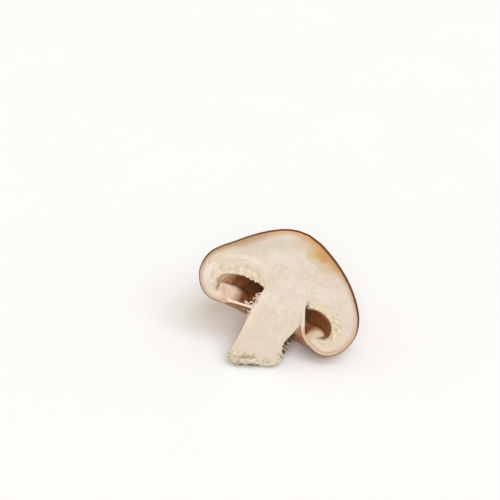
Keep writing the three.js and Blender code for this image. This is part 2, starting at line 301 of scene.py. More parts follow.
class Nodes:
    """A material's node tree, with the mushroom's own growth coordinates at hand."""

    def __init__(self, material: Material, rest: "Rest") -> None:
        """Empties the material's tree but for its shader and output.

        Args:
            material: the material to fill.
            rest: how the half lies, to turn row coordinates back into growth coordinates.
        """
        material.use_nodes = True
        self.tree = material.node_tree
        self.shader = self.tree.nodes["Principled BSDF"]
        self.rest = rest
        self._growth = None

    def add(self, kind: str, settings: dict, values: dict, output: object = 0) -> Wire:
        """Adds a node.

        Args:
            kind: the node's type.
            settings: the node's own properties, set first; a ramp's stops go under "stops".
            values: numbers, colours or Wires by the input's identifier or place.
            output: the place or identifier of the output to return.

        Returns:
            The chosen output.
        """
        node = self.tree.nodes.new(kind)
        for name, value in settings.items():
            setattr(node, name, value)
        for name, value in values.items():
            self.feed(self.pick(node.inputs, name), value)
        return Wire(self, self.pick(node.outputs, output))

    @staticmethod
    def pick(sockets: object, name: object) -> bpy.types.NodeSocket:
        """The socket at a place, or with an identifier or a name."""
        if isinstance(name, int):
            return sockets[name]
        return next((s for s in sockets if s.identifier == name), None) or sockets[name]

    def feed(self, socket: bpy.types.NodeSocket, value: object) -> None:
        """Links a Wire to a socket, or sets a plain value on it."""
        if isinstance(value, Wire):
            self.tree.links.new(value.socket, socket)
        else:
            socket.default_value = value.linear() if isinstance(value, Tint) else value

    def growth(self) -> Wire:
        """Growth coordinates in millimetres, from the piece's Object coordinates."""
        if self._growth is None:
            turn = Matrix(self.rest.axes().tolist()).transposed()
            place = -(turn @ Vector(self.rest.place) - turn @ Vector((0, 0, self.rest.trim)))
            coordinates = self.add("ShaderNodeTexCoord", {}, {}, "Object")
            self._growth = self.add(
                "ShaderNodeMapping",
                {"vector_type": "POINT"},
                {
                    "Vector": coordinates,
                    "Location": place,
                    "Rotation": turn.to_euler("XYZ"),
                    "Scale": (1 / MM, 1 / MM, 1 / MM),
                },
            )
        return self._growth

    def growth_parts(self) -> tuple:
        """The growth coordinates as three Wires: right, back and up."""
        split = self.add("ShaderNodeSeparateXYZ", {}, {0: self.growth()})
        node = split.socket.node
        return tuple(Wire(self, node.outputs[i]) for i in range(3))

    def vector(self, x: object, y: object, z: object) -> Wire:
        """Three numbers or Wires as one vector."""
        return self.add("ShaderNodeCombineXYZ", {}, {0: x, 1: y, 2: z})

    def attribute(self, name: str) -> Wire:
        """A number stored at the piece's vertices."""
        return self.add("ShaderNodeAttribute", {"attribute_name": name}, {}, "Fac")

    def grain(self, scale: float, detail: float) -> Wire:
        """Noise over the growth coordinates."""
        return self.noise(self.growth(), scale, detail)

    def noise(self, vector: Wire, scale: float, detail: float, distortion: float = 0.0) -> Wire:
        """Noise from about 0.25 to 0.75 over a vector, with scale features a unit."""
        values = {"Vector": vector, "Scale": scale, "Detail": detail, "Distortion": distortion}
        return self.add("ShaderNodeTexNoise", {}, values, "Fac")

    def ramp(self, value: Wire, low: float, high: float) -> Wire:
        """0 below low, 1 above high, smooth between; low may be the larger."""
        settings = {"interpolation_type": "SMOOTHSTEP", "clamp": True}
        return self.add("ShaderNodeMapRange", settings, {"Value": value, "From Min": low, "From Max": high})

    def mix(self, factor: object, first: object, second: object) -> Wire:
        """A colour between two, by a factor from 0 to 1."""
        values = {"Factor_Float": factor, "A_Color": first, "B_Color": second}
        return self.add("ShaderNodeMix", {"data_type": "RGBA"}, values, "Result_Color")

    def ramps(self, *windows: tuple) -> Wire:
        """Several ramps multiplied, each given as its value and its two limits."""
        product = self.ramp(*windows[0])
        for window in windows[1:]:
            product = product * self.ramp(*window)
        return product

    def coats(self, colour: Wire, *coats: tuple) -> Wire:
        """A colour with coats laid over it in turn, each a share from 0 to 1 and a tint."""
        for share, tint in coats:
            colour = self.mix(share, colour, tint)
        return colour

    def wear(
        self, colour: Wire, height: Wire, depth: float, strength: float, roughness: Wire | None = None
    ) -> None:
        """Feeds the shader what varies over the surface.

        Args:
            colour: the surface's colour.
            height: its relief, from 0 to 1.
            depth: how many millimetres a height of 1 stands.
            strength: how much of the relief shows.
            roughness: its roughness, if that varies.
        """
        values = {"Height": height, "Distance": depth * MM, "Strength": strength}
        self.feed(self.shader.inputs["Base Color"], colour)
        self.feed(self.shader.inputs["Normal"], self.add("ShaderNodeBump", {}, values))
        if roughness is not None:
            self.feed(self.shader.inputs["Roughness"], roughness)


@dataclass(frozen=True)
class Rest:
    """How the half lies: its lean, and the growth frame's place in the row frame."""

    lean: float = 39.0
    turn: float = 55.0
    place: tuple = (-1.93, -8.73, 18.65)
    press: float = 0.3
    trim: float = 0.1

    def axes(self) -> Array:
        """The row frame's X, Y and Z as rows, in growth coordinates."""
        lean, turn = math.radians(self.lean), math.radians(self.turn)
        up = np.array([-math.sin(lean) * math.cos(turn), -math.sin(lean) * math.sin(turn), math.cos(lean)])
        back = np.array([0.0, 1.0, 0.0]) - up * up[1]
        back /= np.linalg.norm(back)
        return np.array([np.cross(back, up), back, up])

    def settle(self, points: Array) -> Array:
        """Lays growth points down at rest, flattened softly on the floor.

        Args:
            points: growth coordinates in millimetres, the last axis of length 3.

        Returns:
            Row coordinates in metres.
        """
        placed = points @ self.axes().T + np.array(self.place)
        height = placed[..., 2]
        placed[..., 2] = np.maximum((height + np.hypot(height, self.press)) / 2 - self.trim, 0)
        return placed * MM

    def direction(self, growth: tuple) -> Vector:
        """A growth direction in the row frame."""
        return Vector(self.axes() @ np.array(growth, float))


def smoothstep(value: Array, low: float, high: float) -> Array:
    """0 below low, 1 above high, smooth between."""
    share = np.clip((value - low) / (high - low), 0, 1)
    return share * share * (3 - 2 * share)


def rough(points: Array, scale: float, seed: float = 0.0) -> Array:
    """Smooth noise from -1 to 1 at each point.

    Args:
        points: two or three coordinates on the last axis.
        scale: features a unit.
        seed: moves the pattern.

    Returns:
        One number for each point.
    """
    flat = points.reshape(-1, points.shape[-1]) * scale + seed
    if flat.shape[1] == 2:
        flat = np.column_stack([flat, np.full(len(flat), seed)])
    return np.array([noise.noise(Vector(p)) for p in flat]).reshape(points.shape[:-1])


def grained(across: Array, along: Array, seed: float) -> Array:
    """Smooth noise from -1 to 1 over two coordinates, with one feature a unit."""
    return rough(np.stack([across, along], -1), 1.0, seed)


def spline(controls: Array, along: Array, closed: bool) -> Array:
    """Points of a centripetal curve through control points.

    Args:
        controls: curves by points by 2.
        along: places on each curve, counted in control points.
        closed: whether the curve returns to its start.

    Returns:
        Curves by places by 2.
    """
    count = controls.shape[1]
    if closed:
        padded = np.concatenate([controls[:, -1:], controls, controls[:, :3]], axis=1)
    else:
        before = 2 * controls[:, :1] - controls[:, 1:2]
        after = 2 * controls[:, -1:] - controls[:, -2:-1]
        padded = np.concatenate([before, controls, after, after], axis=1)
    start = np.floor(along).astype(int)
    if not closed:
        start = np.minimum(start, count - 2)
    share = (along - start)[None, :, None]
    p0, p1, p2, p3 = (padded[:, start + k] for k in range(4))

    def gap(a: Array, b: Array) -> Array:
        """The centripetal length between two points."""
        return np.maximum(((a - b) ** 2).sum(-1, keepdims=True) ** 0.25, 1e-4)

    d0, d1, d2 = gap(p0, p1), gap(p1, p2), gap(p2, p3)
    leave = ((p1 - p0) / d0 - (p2 - p0) / (d0 + d1) + (p2 - p1) / d1) * d1
    reach = ((p2 - p1) / d1 - (p3 - p1) / (d1 + d2) + (p3 - p2) / d2) * d1
    square = -3 * p1 + 3 * p2 - 2 * leave - reach
    cube = 2 * p1 - 2 * p2 + leave + reach
    return p1 + leave * share + square * share**2 + cube * share**3


def curve(line: tuple, places: Array, closed: bool) -> Array:
    """Points of a single curve through the points of a line."""
    return spline(np.array([line], float), places, closed)[0]


def within(points: Array, loop: Array) -> Array:
    """Whether each flat point lies inside a closed loop."""
    result = np.zeros(len(points), bool)
    ends = np.roll(loop, -1, axis=0)
    for (x0, y0), (x1, y1) in zip(loop, ends):
        if y0 == y1:
            continue
        spans = (points[:, 1] < y0) != (points[:, 1] < y1)
        result ^= spans & (points[:, 0] < x0 + (points[:, 1] - y0) / (y1 - y0) * (x1 - x0))
    return result


def distance(points: Array, line: Array, closed: bool = True) -> Array:
    """How far each flat point lies from a line of points.

    Args:
        points: the points.
        line: the line's corners.
        closed: whether the line returns to its start.

    Returns:
        One distance for each point.
    """
    starts = line if closed else line[:-1]
    ends = np.roll(line, -1, axis=0) if closed else line[1:]
    nearest = np.full(len(points), np.inf)
    for start, end in zip(starts, ends):
        run = end - start
        share = np.clip(((points - start) @ run) / max(run @ run, 1e-12), 0, 1)
        nearest = np.minimum(nearest, ((points - start - share[:, None] * run) ** 2).sum(1))
    return np.sqrt(nearest)


def nearest(points: Array, lines: tuple, closed: bool = True) -> Array:
    """How far each flat point lies from the nearest of some lines."""
    return np.min([distance(points, np.array(line, float), closed) for line in lines], axis=0)


def on_flesh(points: Array, borders: list) -> Array:
    """Whether each flat point lies inside the first border and outside the others."""
    inside = within(points, borders[0])
    for hollow in borders[1:]:
        inside &= ~within(points, hollow)
    return inside


def foot_share(flat: Array) -> Array:
    """How much each point of the cut belongs to the foot's torn end, from 0 to 1."""
    return smoothstep(-flat[:, 1] + 0.16 * flat[:, 0], 16.6, 18.6)


def stem_edge(height: float) -> float:
    """How far right the stem reaches at a height of the cut."""
    return float(np.interp(height, *zip(*STEM_EDGE)))


@dataclass(frozen=True)
class Sections:
    """The mushroom's sections round its stem, between the two ends of the cut."""

    swelling: float = 0.016
    swellings_round: float = 6.5
    first_swelling: float = 23.0

    def controls(self, ends: tuple, angles: Array) -> Array:
        """Control points of the sections at some directions.

        Args:
            ends: the points at direction 0 and at 180 degrees.
            angles: directions in radians.

        Returns:
            Directions by points by 2.
        """
        share = ((1 + np.cos(angles)) / 2)[:, None, None]
        right, left = (np.array(end)[None] for end in ends)
        points = left * (1 - share) + right * share
        turned = angles - math.radians(self.first_swelling)
        wave = self.swelling * smoothstep(np.sin(angles), 0, 0.5) * np.cos(self.swellings_round * turned)
        points[..., 0] *= 1 + wave[:, None] * smoothstep(points[..., 0], 12, 24)
        return points

    @staticmethod
    def bulge(points: Array, angles: Array, bulges: tuple) -> None:
        """Moves section points close behind the ends of the cut.

        Args:
            points: directions by points by 2, changed in place.
            angles: the directions in radians.
            bulges: moves, end and reach of each bulge. A move is a point's place, outward and up.
        """
        for moves, left, (whole, fading, gone) in bulges:
            behind = np.degrees(math.pi - angles if left else angles)
            grown = np.clip(behind / whole, 0, 1) if whole else np.ones(len(angles))
            share = np.sin(grown * math.pi / 2) * (1 - smoothstep(behind, fading, gone))
            for place, outward, up in moves:
                points[:, place] += share[:, None] * np.array([outward, up])

    @staticmethod
    def travel(lines: Array) -> Array:
        """How far each place lies from the start along the lines, as the mean of all lines."""
        steps = np.linalg.norm(np.diff(lines, axis=1), axis=-1).mean(0)
        return np.concatenate([[0], np.cumsum(steps)])

    @staticmethod
    def even(ends: tuple, start: float, stop: float, step: float, closed: bool) -> Array:
        """Places along a line, evenly spaced on the ground.

        Args:
            ends: the line's points at direction 0 and at 180 degrees.
            start: first place, counted in points.
            stop: last place.
            step: wanted spacing in millimetres.
            closed: whether the line returns to its start.

        Returns:
            The places, counted in points.
        """
        fine = np.linspace(start, stop - (1e-9 if closed else 0), 2000)
        length = Sections.travel(spline(np.array(ends, float), fine, closed))
        count = max(2, round(length[-1] / step))
        return np.interp(np.linspace(0, length[-1], count + 1), length, fine)

    @staticmethod
    def outward(lines: Array) -> Array:
        """Each section point's direction away from the flesh, in its section."""
        run = np.gradient(lines, axis=1)
        normals = np.stack([-run[..., 1], run[..., 0]], axis=-1)
        return normals / np.maximum(np.linalg.norm(normals, axis=-1, keepdims=True), 1e-9)

    @staticmethod
    def spread(lines: Array, turned: Array) -> Array:
        """Section points turned to their directions in radians, as growth coordinates."""
        radius, height = lines[..., 0], lines[..., 1]
        return np.stack([radius * np.cos(turned), radius * np.sin(turned), height + 0 * turned], axis=-1)

    @staticmethod
    def gather(lines: Array, place: int) -> None:
        """Brings one place of all sections together on the stem's axis."""
        lines[:, place] = [0, lines[:, place, 1].mean()]


class Bench:
    """Makes and finishes mesh pieces, and keeps where the vertices of the last sheet belong."""

    def __init__(self, rest: Rest) -> None:
        """Keeps how pieces are settled into the row frame."""
        self.rest = rest
        self.places = None

    @staticmethod
    def clear() -> None:
        """Deselects everything."""
        bpy.ops.object.select_all(action="DESELECT")

    def pick(self, *pieces: Piece) -> None:
        """Selects only these pieces, the first one active."""
        self.clear()
        for piece in pieces:
            piece.select_set(True)
        bpy.context.view_layer.objects.active = pieces[0]

    def sheet(self, name: str, points: Array) -> Piece:
        """A grid primitive laid over an array of points.

        Args:
            name: the piece's name.
            points: rows by columns by 3, growth coordinates in millimetres.

        Returns:
            The new mesh object, in the row frame.
        """
        rows, columns = points.shape[0] - 1, points.shape[1] - 1
        self.clear()
        bpy.ops.mesh.primitive_grid_add(x_subdivisions=rows, y_subdivisions=columns, size=2)
        piece = bpy.context.active_object
        piece.name = piece.data.name = name
        share = (self.vertices(piece)[:, :2] + 1) / 2
        self.places = tuple(np.rint(share * [rows, columns]).astype(int).T)
        self.mould(piece, points[self.places])
        return piece

    @staticmethod
    def vertices(piece: Piece) -> Array:
        """A piece's vertices as its mesh holds them."""
        flat = np.empty(len(piece.data.vertices) * 3)
        piece.data.vertices.foreach_get("co", flat)
        return flat.reshape(-1, 3)

    def mould(self, piece: Piece, points: Array) -> None:
        """Moves a piece's vertices to growth points, settled at rest."""
        piece.data.vertices.foreach_set("co", self.rest.settle(points).ravel())

    @staticmethod
    def store(piece: Piece, **values: Array) -> None:
        """Stores numbers at a piece's vertices, each kind under its own name."""
        for name, numbers in values.items():
            layer = piece.data.attributes.new(name, "FLOAT", "POINT")
            layer.data.foreach_set("value", np.asarray(numbers, np.float32).ravel())

    def lay(self, piece: Piece, **values: Array) -> None:
        """Stores rows by columns of numbers at the vertices of the sheet made last."""
        self.store(piece, **{name: numbers[self.places] for name, numbers in values.items()})

    def mesh(self, name: str, points: Array, faces: list) -> Piece:
        """A mesh object from growth points and faces."""
        data = bpy.data.meshes.new(name)
        data.from_pydata(self.rest.settle(points).tolist(), [], faces)
        piece = bpy.data.objects.new(name, data)
        bpy.context.scene.collection.objects.link(piece)
        return piece

    def join(self, name: str, pieces: list) -> Piece:
        """Several pieces as one."""
        self.pick(*pieces)
        bpy.ops.object.join()
        piece = bpy.context.active_object
        piece.name = piece.data.name = name
        return piece

    def weld(self, piece: Piece, distance: float = 2e-6) -> None:
        """Merges what coincides and points all faces outwards."""
        self.pick(piece)
        bpy.ops.object.mode_set(mode="EDIT")
        bpy.ops.mesh.select_all(action="SELECT")
        bpy.ops.mesh.remove_doubles(threshold=distance)
        bpy.ops.mesh.delete_loose()
        bpy.ops.mesh.select_all(action="SELECT")
        bpy.ops.mesh.normals_make_consistent(inside=False)
        bpy.ops.object.mode_set(mode="OBJECT")

    def modify(self, piece: Piece, kind: str, **settings: object) -> None:
        """Adds a modifier, with its settings, and applies it."""
        self.pick(piece)
        modifier = piece.modifiers.new(kind.lower(), kind)
        for name, value in settings.items():
            setattr(modifier, name, value)
        bpy.ops.object.modifier_apply(modifier=modifier.name)

    def thicken(self, piece: Piece, thickness: float, offset: int = -1, **settings: int) -> None:
        """Gives a sheet its thickness in millimetres, inwards unless the offset is 0."""
        self.modify(piece, "SOLIDIFY", thickness=thickness * MM, offset=offset, **settings)

    @staticmethod
    def cover(piece: Piece, *materials: Material) -> None:
        """Adds materials to a piece, in order."""
        for material in materials:
            piece.data.materials.append(material)

    def finish(self, piece: Piece, angle: float, *materials: Material) -> None:
        """Shades a piece, gives it its body, hides the imported solid, and reports it.

        Args:
            piece: the piece.
            angle: how sharp an edge has to be, in degrees, to stay one.
            materials: its materials, if it has none yet.
        """
        self.pick(piece)
        bpy.ops.object.shade_smooth_by_angle(angle=math.radians(angle))
        self.cover(piece, *materials)
        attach(piece, "root")
        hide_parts(NODE)
        LOG.info("%s: %d faces", piece.name, len(piece.data.polygons))

    def growth_of(self, piece: Piece) -> Array:
        """A piece's vertices in growth coordinates, in millimetres."""
        lifted = self.vertices(piece) / MM + np.array([0, 0, self.rest.trim]) - np.array(self.rest.place)
        return lifted @ self.rest.axes()

    def paint(self, piece: Piece, indices: Array) -> None:
        """Sets each face's material from a number for each vertex of the last sheet's columns.

        Args:
            piece: the sheet made last.
            indices: a material's place for each column.
        """
        columns = self.places[1]
        for polygon in piece.data.polygons:
            polygon.material_index = int(indices[int(columns[list(polygon.vertices)].min())])

    def behind(self, depth: float) -> Vector:
        """A point in the row frame, depth millimetres behind the middle of the cut."""
        return Vector(self.rest.settle(np.array([[0.0, depth, 5.0]]))[0])

    def turn_out(self, piece: Piece, centre: Vector) -> None:
        """Turns an open sheet's faces away from a centre."""
        total = sum(p.normal.dot(p.center - centre) * p.area for p in piece.data.polygons)
        if total < 0:
            piece.data.flip_normals()


class Finish:
    """What all finishes share."""

    name: str = ""
    roughness: float = 0.55
    specular: float = 0.4
    subsurface: float = 0.0
    coat: float = 0.0

    def material(self, rest: Rest) -> Material:
        """Makes the finish's material."""
        made = bpy.data.materials.new(self.name)
        nodes = Nodes(made, rest)
        constants = {
            "Roughness": self.roughness,
            "Specular IOR Level": self.specular,
            "Subsurface Weight": self.subsurface,
            "Subsurface Radius": (1.0, 0.6, 0.4),
            "Subsurface Scale": 1.2 * MM,
            "Coat Weight": self.coat,
            "Coat Roughness": 0.35,
        }
        for socket, value in constants.items():
            nodes.shader.inputs[socket].default_value = value
        self.dress(nodes)
        return made

    def dress(self, nodes: Nodes) -> None:
        """Adds what varies over the surface."""
        raise NotImplementedError


@dataclass(frozen=True)
class CutWires:
    """What the layers of the cut flesh share: nodes, place on the cut, fine noise and distances."""

    nodes: Nodes
    x: Wire
    z: Wire
    fine: Wire
    rind: Wire
    band: Wire
    lobe: Wire

    def ellipse(self, place: tuple, turn: tuple, size: tuple) -> Wire:
        """A number that is 0 in the middle of an ellipse on the cut and about 1 on its edge.

        Args:
            place: its middle.
            turn: the way its long side runs, right and up.
            size: half its long and its short side.

        Returns:
            The number.
        """
        right, up = self.x - place[0], self.z - place[1]
        along = right * turn[0] + up * turn[1]
        across = up * turn[0] - right * turn[1]
        return along * along * (1 / size[0] ** 2) + across * across * (1 / size[1] ** 2)


@dataclass(frozen=True)
class CutFlesh(Finish):
    """Ivory flesh under the knife, browning under the skin, with a bruise on the right shoulder, and
    painted light and shade on its folds, recesses and torn foot.
    """

    name: str = "cut_flesh"
    roughness: float = 0.5
    subsurface: float = 0.18
    # Each stain's place, slope, half sizes, tint and strength.
    stains: tuple = (
        ((8.0, 21.6), -0.62, (9.5, 5.6), Tint.FLUSH, 0.85),
        ((4.3, 22.0), 0.2, (3.4, 3.0), Tint.OLIVE_STAIN, 0.85),
        ((7.2, 22.6), -0.5, (3.6, 2.5), Tint.ORANGE_STAIN, 1.0),
        ((-22.2, 7.2), 0.6, (4.4, 2.4), Tint.BUFF, 0.8),
    )
    # Small spots, mostly painted light: dark ones for shade in a recess across the foot, in the foot's
    # right corner and at the junction below the left lobe, pale ones for highlights on the crests of the
    # foot's ridges, and a peach patch near the left rim. Each one's place, half sizes and tint.
    spots: tuple = (
        ((-0.2, -18.8), (2.8, 0.9), Tint.DIRT),
        ((9.0, -13.4), (1.0, 1.0), Tint.STEM),
        ((-16.1, -5.2), (1.9, 0.55), Tint.FOLD),
        ((-25.9, 4.2), (1.3, 1.5), Tint.LOBE),
        ((0.6, -17.3), (2.3, 0.4), Tint.THREAD),
        ((-4.0, -19.3), (1.4, 0.45), Tint.THREAD),
        ((0.4, -20.1), (1.8, 0.4), Tint.RIBBON),
        ((4.1, -17.6), (0.9, 0.4), Tint.RIBBON),
        ((9.5, -15.1), (1.3, 0.35), Tint.THREAD),
    )
    # Faint folds of the rolled rim, painted as lines of shade and of highlight in place of the folds'
    # relief: each one's ends, sag, width, tint and strength.
    folds: tuple = (
        ((-17.7, -0.7), (-16.4, -3.8), 0.3, 0.9, Tint.FOLD, 0.7),
        ((-17.4, -0.4), (-14.3, -1.9), 0.0, 0.32, Tint.FLOSS, 0.9),
        ((17.4, -2.4), (21.6, -2.7), 1.0, 0.24, Tint.HUSK, 0.55),
        ((18.8, -3.0), (21.2, -2.9), 0.3, 0.3, Tint.THREAD, 0.6),
    )

    def dress(self, nodes: Nodes) -> None:
        """Lays mottling, browned flesh, the rolled rim, the veil, and streaks, pits and spots, with painted
        light and shade on folds, recesses and the foot.
        """
        x, _, z = nodes.growth_parts()
        fine = nodes.grain(1.1, 4.0)
        cut = CutWires(nodes, x, z, fine, *(nodes.attribute(name) for name in ("rind", "band", "lobe")))
        streaks = nodes.noise(nodes.vector(x * 0.6 + z * 0.2, 3.0, z * 0.45 - x * 0.2), 1.0, 4.0, 1.2)
        colour = self.browned(cut, self.mottled(cut))
        colour = self.veiled(cut, self.rolled(cut, colour))
        colour = self.flecked(cut, colour, streaks)
        height = fine * 0.6 + nodes.grain(4.0, 2.0) * 0.2 + streaks * 0.6
        nodes.wear(colour, height, 0.14, 0.45, 0.42 + fine * 0.25)

    @staticmethod
    def mottled(cut: CutWires) -> Wire:
        """Ivory with rosy, greyish and creamy areas, flushed on the shoulder."""
        nodes, x, z, rind = cut.nodes, cut.x, cut.z, cut.rind
        cloud = nodes.ramp(nodes.grain(0.17, 2.0), 0.4, 0.6)
        grey = nodes.ramp(nodes.noise(nodes.vector(x * 0.16 + 4.0, 2.0, z * 0.3), 1.0, 3.0), 0.5, 0.68)
        shoulder = nodes.ramps((rind, 2.6, 4.2), (rind, 7.6, 5.4), (x, 3.0, -6.0))
        broad = nodes.ramp(rind + (cut.fine - 0.5) * 1.6, 7.0, 2.2) * nodes.attribute("flush")
        return nodes.coats(
            nodes.mix(cloud, Tint.IVORY, Tint.ROSY),
            (grey * 0.5, Tint.GREYISH),
            (nodes.ramp(z - x * 0.3, 6.0, -12.0) * 0.7, Tint.CREAM),
            (shoulder * 0.85 * nodes.ramp(z, 6.0, 10.0), Tint.GREYISH),
            (broad * 0.85, Tint.FLUSH),
        )

    def browned(self, cut: CutWires, colour: Wire) -> Wire:
        """The stains, and the rind of browned flesh under the skin."""
        nodes, x, z, rind, fine = cut.nodes, cut.x, cut.z, cut.rind, cut.fine
        cloud = nodes.noise(nodes.vector(x, 31.0, z), 0.42, 3.0, 0.8)
        for place, slope, size, tint, share in self.stains:
            spot = cut.ellipse(place, (1.0, slope), size) + (cloud - 0.5) * 1.4
            colour = nodes.mix(nodes.ramp(spot, 1.15, -0.25) * share, colour, tint)
        side = nodes.mix(nodes.ramp(x, -15.0, -9.0), Tint.PEACH, Tint.AMBER)
        side = nodes.mix(nodes.ramp(x, 4.0, 18.0), side, Tint.ROSE)
        depth = (rind + (fine - 0.5) * 0.9) / nodes.attribute("rind_width")
        brim = nodes.ramps((rind + (fine - 0.5) * 0.8, 0.95, 0.35), (x, -1.0, 3.0), (z, 8.0, 13.0))
        return nodes.coats(
            colour,
            (nodes.ramp(depth, 1.15, 0.08), nodes.mix(nodes.attribute("rind_warmth"), side, Tint.TAN)),
            (brim * 0.85, Tint.UMBER),
            (nodes.ramps((x, -14.0, -20.0), (z, 5.5, 3.0), (rind, 1.2, 3.0)) * 0.75, Tint.THREAD),
            (nodes.ramps((x, -17.0, -21.0), (z, 3.5, 6.0), (rind, 1.0, 2.6)) * 0.6, Tint.CREAM),
        )

    def rolled(self, cut: CutWires, colour: Wire) -> Wire:
        """The pale rise over the left gills, the lobes of the rolled rim, painted light and shade on the
        right lobe, and its faint folds painted as lines of shade and highlight.
        """
        nodes, x, z, band, lobe, fine = cut.nodes, cut.x, cut.z, cut.band, cut.lobe, cut.fine
        rise = nodes.ramps((band, 0.9, 1.5), (band, 3.4, 2.0), (x, -6.0, -10.5), (z, 6.0, 9.0))
        soft = nodes.ramp(lobe + (fine - 0.5) * 0.8, 4.6, 0.8)
        soft = soft * (1.0 - nodes.ramps((lobe, 1.6, 0.2), (x, 0.0, -5.0)) * 0.6)
        crown = nodes.ramps((x, 10.0, 14.0), (z, -2.0, -0.6))
        colour = nodes.coats(
            colour,
            (rise * 0.5, Tint.THREAD),
            (soft * 0.95, Tint.LOBE),
            (nodes.ramps((x, 9.0, 12.0), (lobe, 6.0, 2.5)) * 0.4, Tint.STEM),
            # Painted light: lifts the bottom of the right lobe, which lies in partial shade.
            (nodes.ramps((x, 11.0, 14.0), (z, -3.0, -4.6)) * 0.22, Tint.FLOSS),
            # Painted shade: the right lobe darkens towards its rounded edge at the hollow.
            (crown * nodes.ramp(lobe, 2.8, 0.4) * 0.7, Tint.STEM),
            (crown * nodes.ramp(lobe, 1.3, 0.0) * 0.8, Tint.RUSSET),
        )
        # Each fold is a painted line of shade or of highlight.
        for place, end, sag, width, tint, share in self.folds:
            run = math.dist(place, end)
            right, up = x - place[0], z - place[1]
            ahead = (right * (end[0] - place[0]) + up * (end[1] - place[1])) / run
            beside = (right * (end[1] - place[1]) - up * (end[0] - place[0])) / run
            middle = ahead * (2 / run) - 1.0
            beside = beside - sag + middle * middle * sag + (fine - 0.5) * 0.4
            crest = nodes.ramp(beside.math("ABSOLUTE", beside), width, width * 0.25)
            crest = crest * nodes.ramps((ahead, -0.1, 0.6), (ahead, run + 0.1, run - 0.6))
            colour = nodes.mix(crest * share, colour, tint)
        return colour

    @staticmethod
    def veiled(cut: CutWires, colour: Wire) -> Wire:
        """The stem's pale left edge, the veil's cut end, and the seam up the right cleft, with painted
        shade beside the seam.
        """
        nodes, x, z, fine = cut.nodes, cut.x, cut.z, cut.fine
        strip = nodes.ramps((z, -1.7, -2.6), (z, -5.6, -4.8), (x, -5.9, -6.6), (x, -15.5, -13.5))
        worn = x + (fine - 0.5) * 3.0
        edge = nodes.ramps((worn, -2.0, -5.4), (x, -6.8, -6.2), (z, 5.0, 2.0), (z, -14.0, -7.0))
        seam = nodes.attribute("seam")
        slant = x + z * 0.42
        strand = nodes.ramps((seam, 0.35, 0.6), (seam, 1.3, 0.9), (slant, 10.1, 10.5), (z, 4.6, 2.4))
        return nodes.coats(
            colour,
            (edge * 0.6, Tint.BLOOM),
            (strip, Tint.RIBBON),
            # Painted shade: olive shade beside the seam in the cleft's top, widening downwards.
            (nodes.ramps((seam + z * 0.16, 1.05, 0.0), (z, 3.6, 0.5)) * 0.55, Tint.OLIVE),
            (strand * 0.7, Tint.FLOSS),
        )

    def flecked(self, cut: CutWires, colour: Wire, streaks: Wire) -> Wire:
        """Painted shade lines along the gills and in a crease under the skin, streaks, flecks, pits, the
        spots, mostly painted light, and the foot's lumps, painted lighter where proud and darker where
        sunk.
        """
        nodes, x, z, rind, band, fine = cut.nodes, cut.x, cut.z, cut.rind, cut.band, cut.fine
        arcs = nodes.noise(nodes.vector(rind * 1.1, x * 0.05, z * 0.05), 1.0, 2.0)
        skin = rind + fine * 0.6
        inner = nodes.ramp(rind, 3.4, 7.0)
        patches = nodes.ramp(nodes.noise(nodes.vector(x, 21.0, z), 0.16, 2.0), 0.44, 0.6)
        flecks = nodes.ramp(nodes.noise(nodes.vector(x * 0.8, 5.0, z * 1.3), 1.0, 3.0, 1.4), 0.58, 0.7)
        focus = nodes.ramps((x, -5.0, 3.0), (z, -1.0, 5.0)) * 0.65 + 0.35
        pits = nodes.ramp(nodes.noise(nodes.vector(x, 9.0, z * 1.2), 1.3, 2.0), 0.6, 0.78)
        under = nodes.ramps((skin, 1.1, 1.3), (skin, 1.7, 1.45), (x, 12.0, 15.0), (z, -2.5, -4.5))
        colour = nodes.coats(
            colour,
            # Painted shade: a faint line along the gills' outer edge.
            (nodes.ramps((band, 0.6, 0.85), (band, 1.25, 0.95), (fine, 0.42, 0.58)) * 0.1, Tint.DIRT),
            (nodes.ramps((arcs, 0.55, 0.7), (z, 9.0, 3.0), (rind, 7.0, 5.0)) * 0.3, Tint.GREYISH),
            # Painted shade: a thin crease under the skin along the right rim's bottom.
            (under * 0.5, Tint.DIRT),
            (nodes.ramp(streaks, 0.52, 0.72) * inner * 0.5, Tint.THREAD),
            (flecks * (patches * 0.8 * focus + 0.08) * inner, Tint.THREAD),
            (pits * (patches * 0.34 * focus + 0.03) * inner, Tint.DIRT),
        )
        # The spots: mostly painted shade in recesses and highlights on ridges.
        for place, size, tint in self.spots:
            spot = cut.ellipse(place, LEVEL, size) + (fine - 0.5) * 3.0
            colour = nodes.mix(nodes.ramp(spot, 1.2, 0.0) * 0.6, colour, tint)
        # Painted light and shade: the foot's proud bits lighter, its sunk bits darker.
        lump = nodes.attribute("lump")
        raised, sunk = nodes.ramp(lump, 0.5, 1.0), nodes.ramp(lump, 0.5, 0.0)
        return nodes.coats(colour, (raised * 0.5, Tint.THREAD), (sunk * 0.7, Tint.OLIVE))


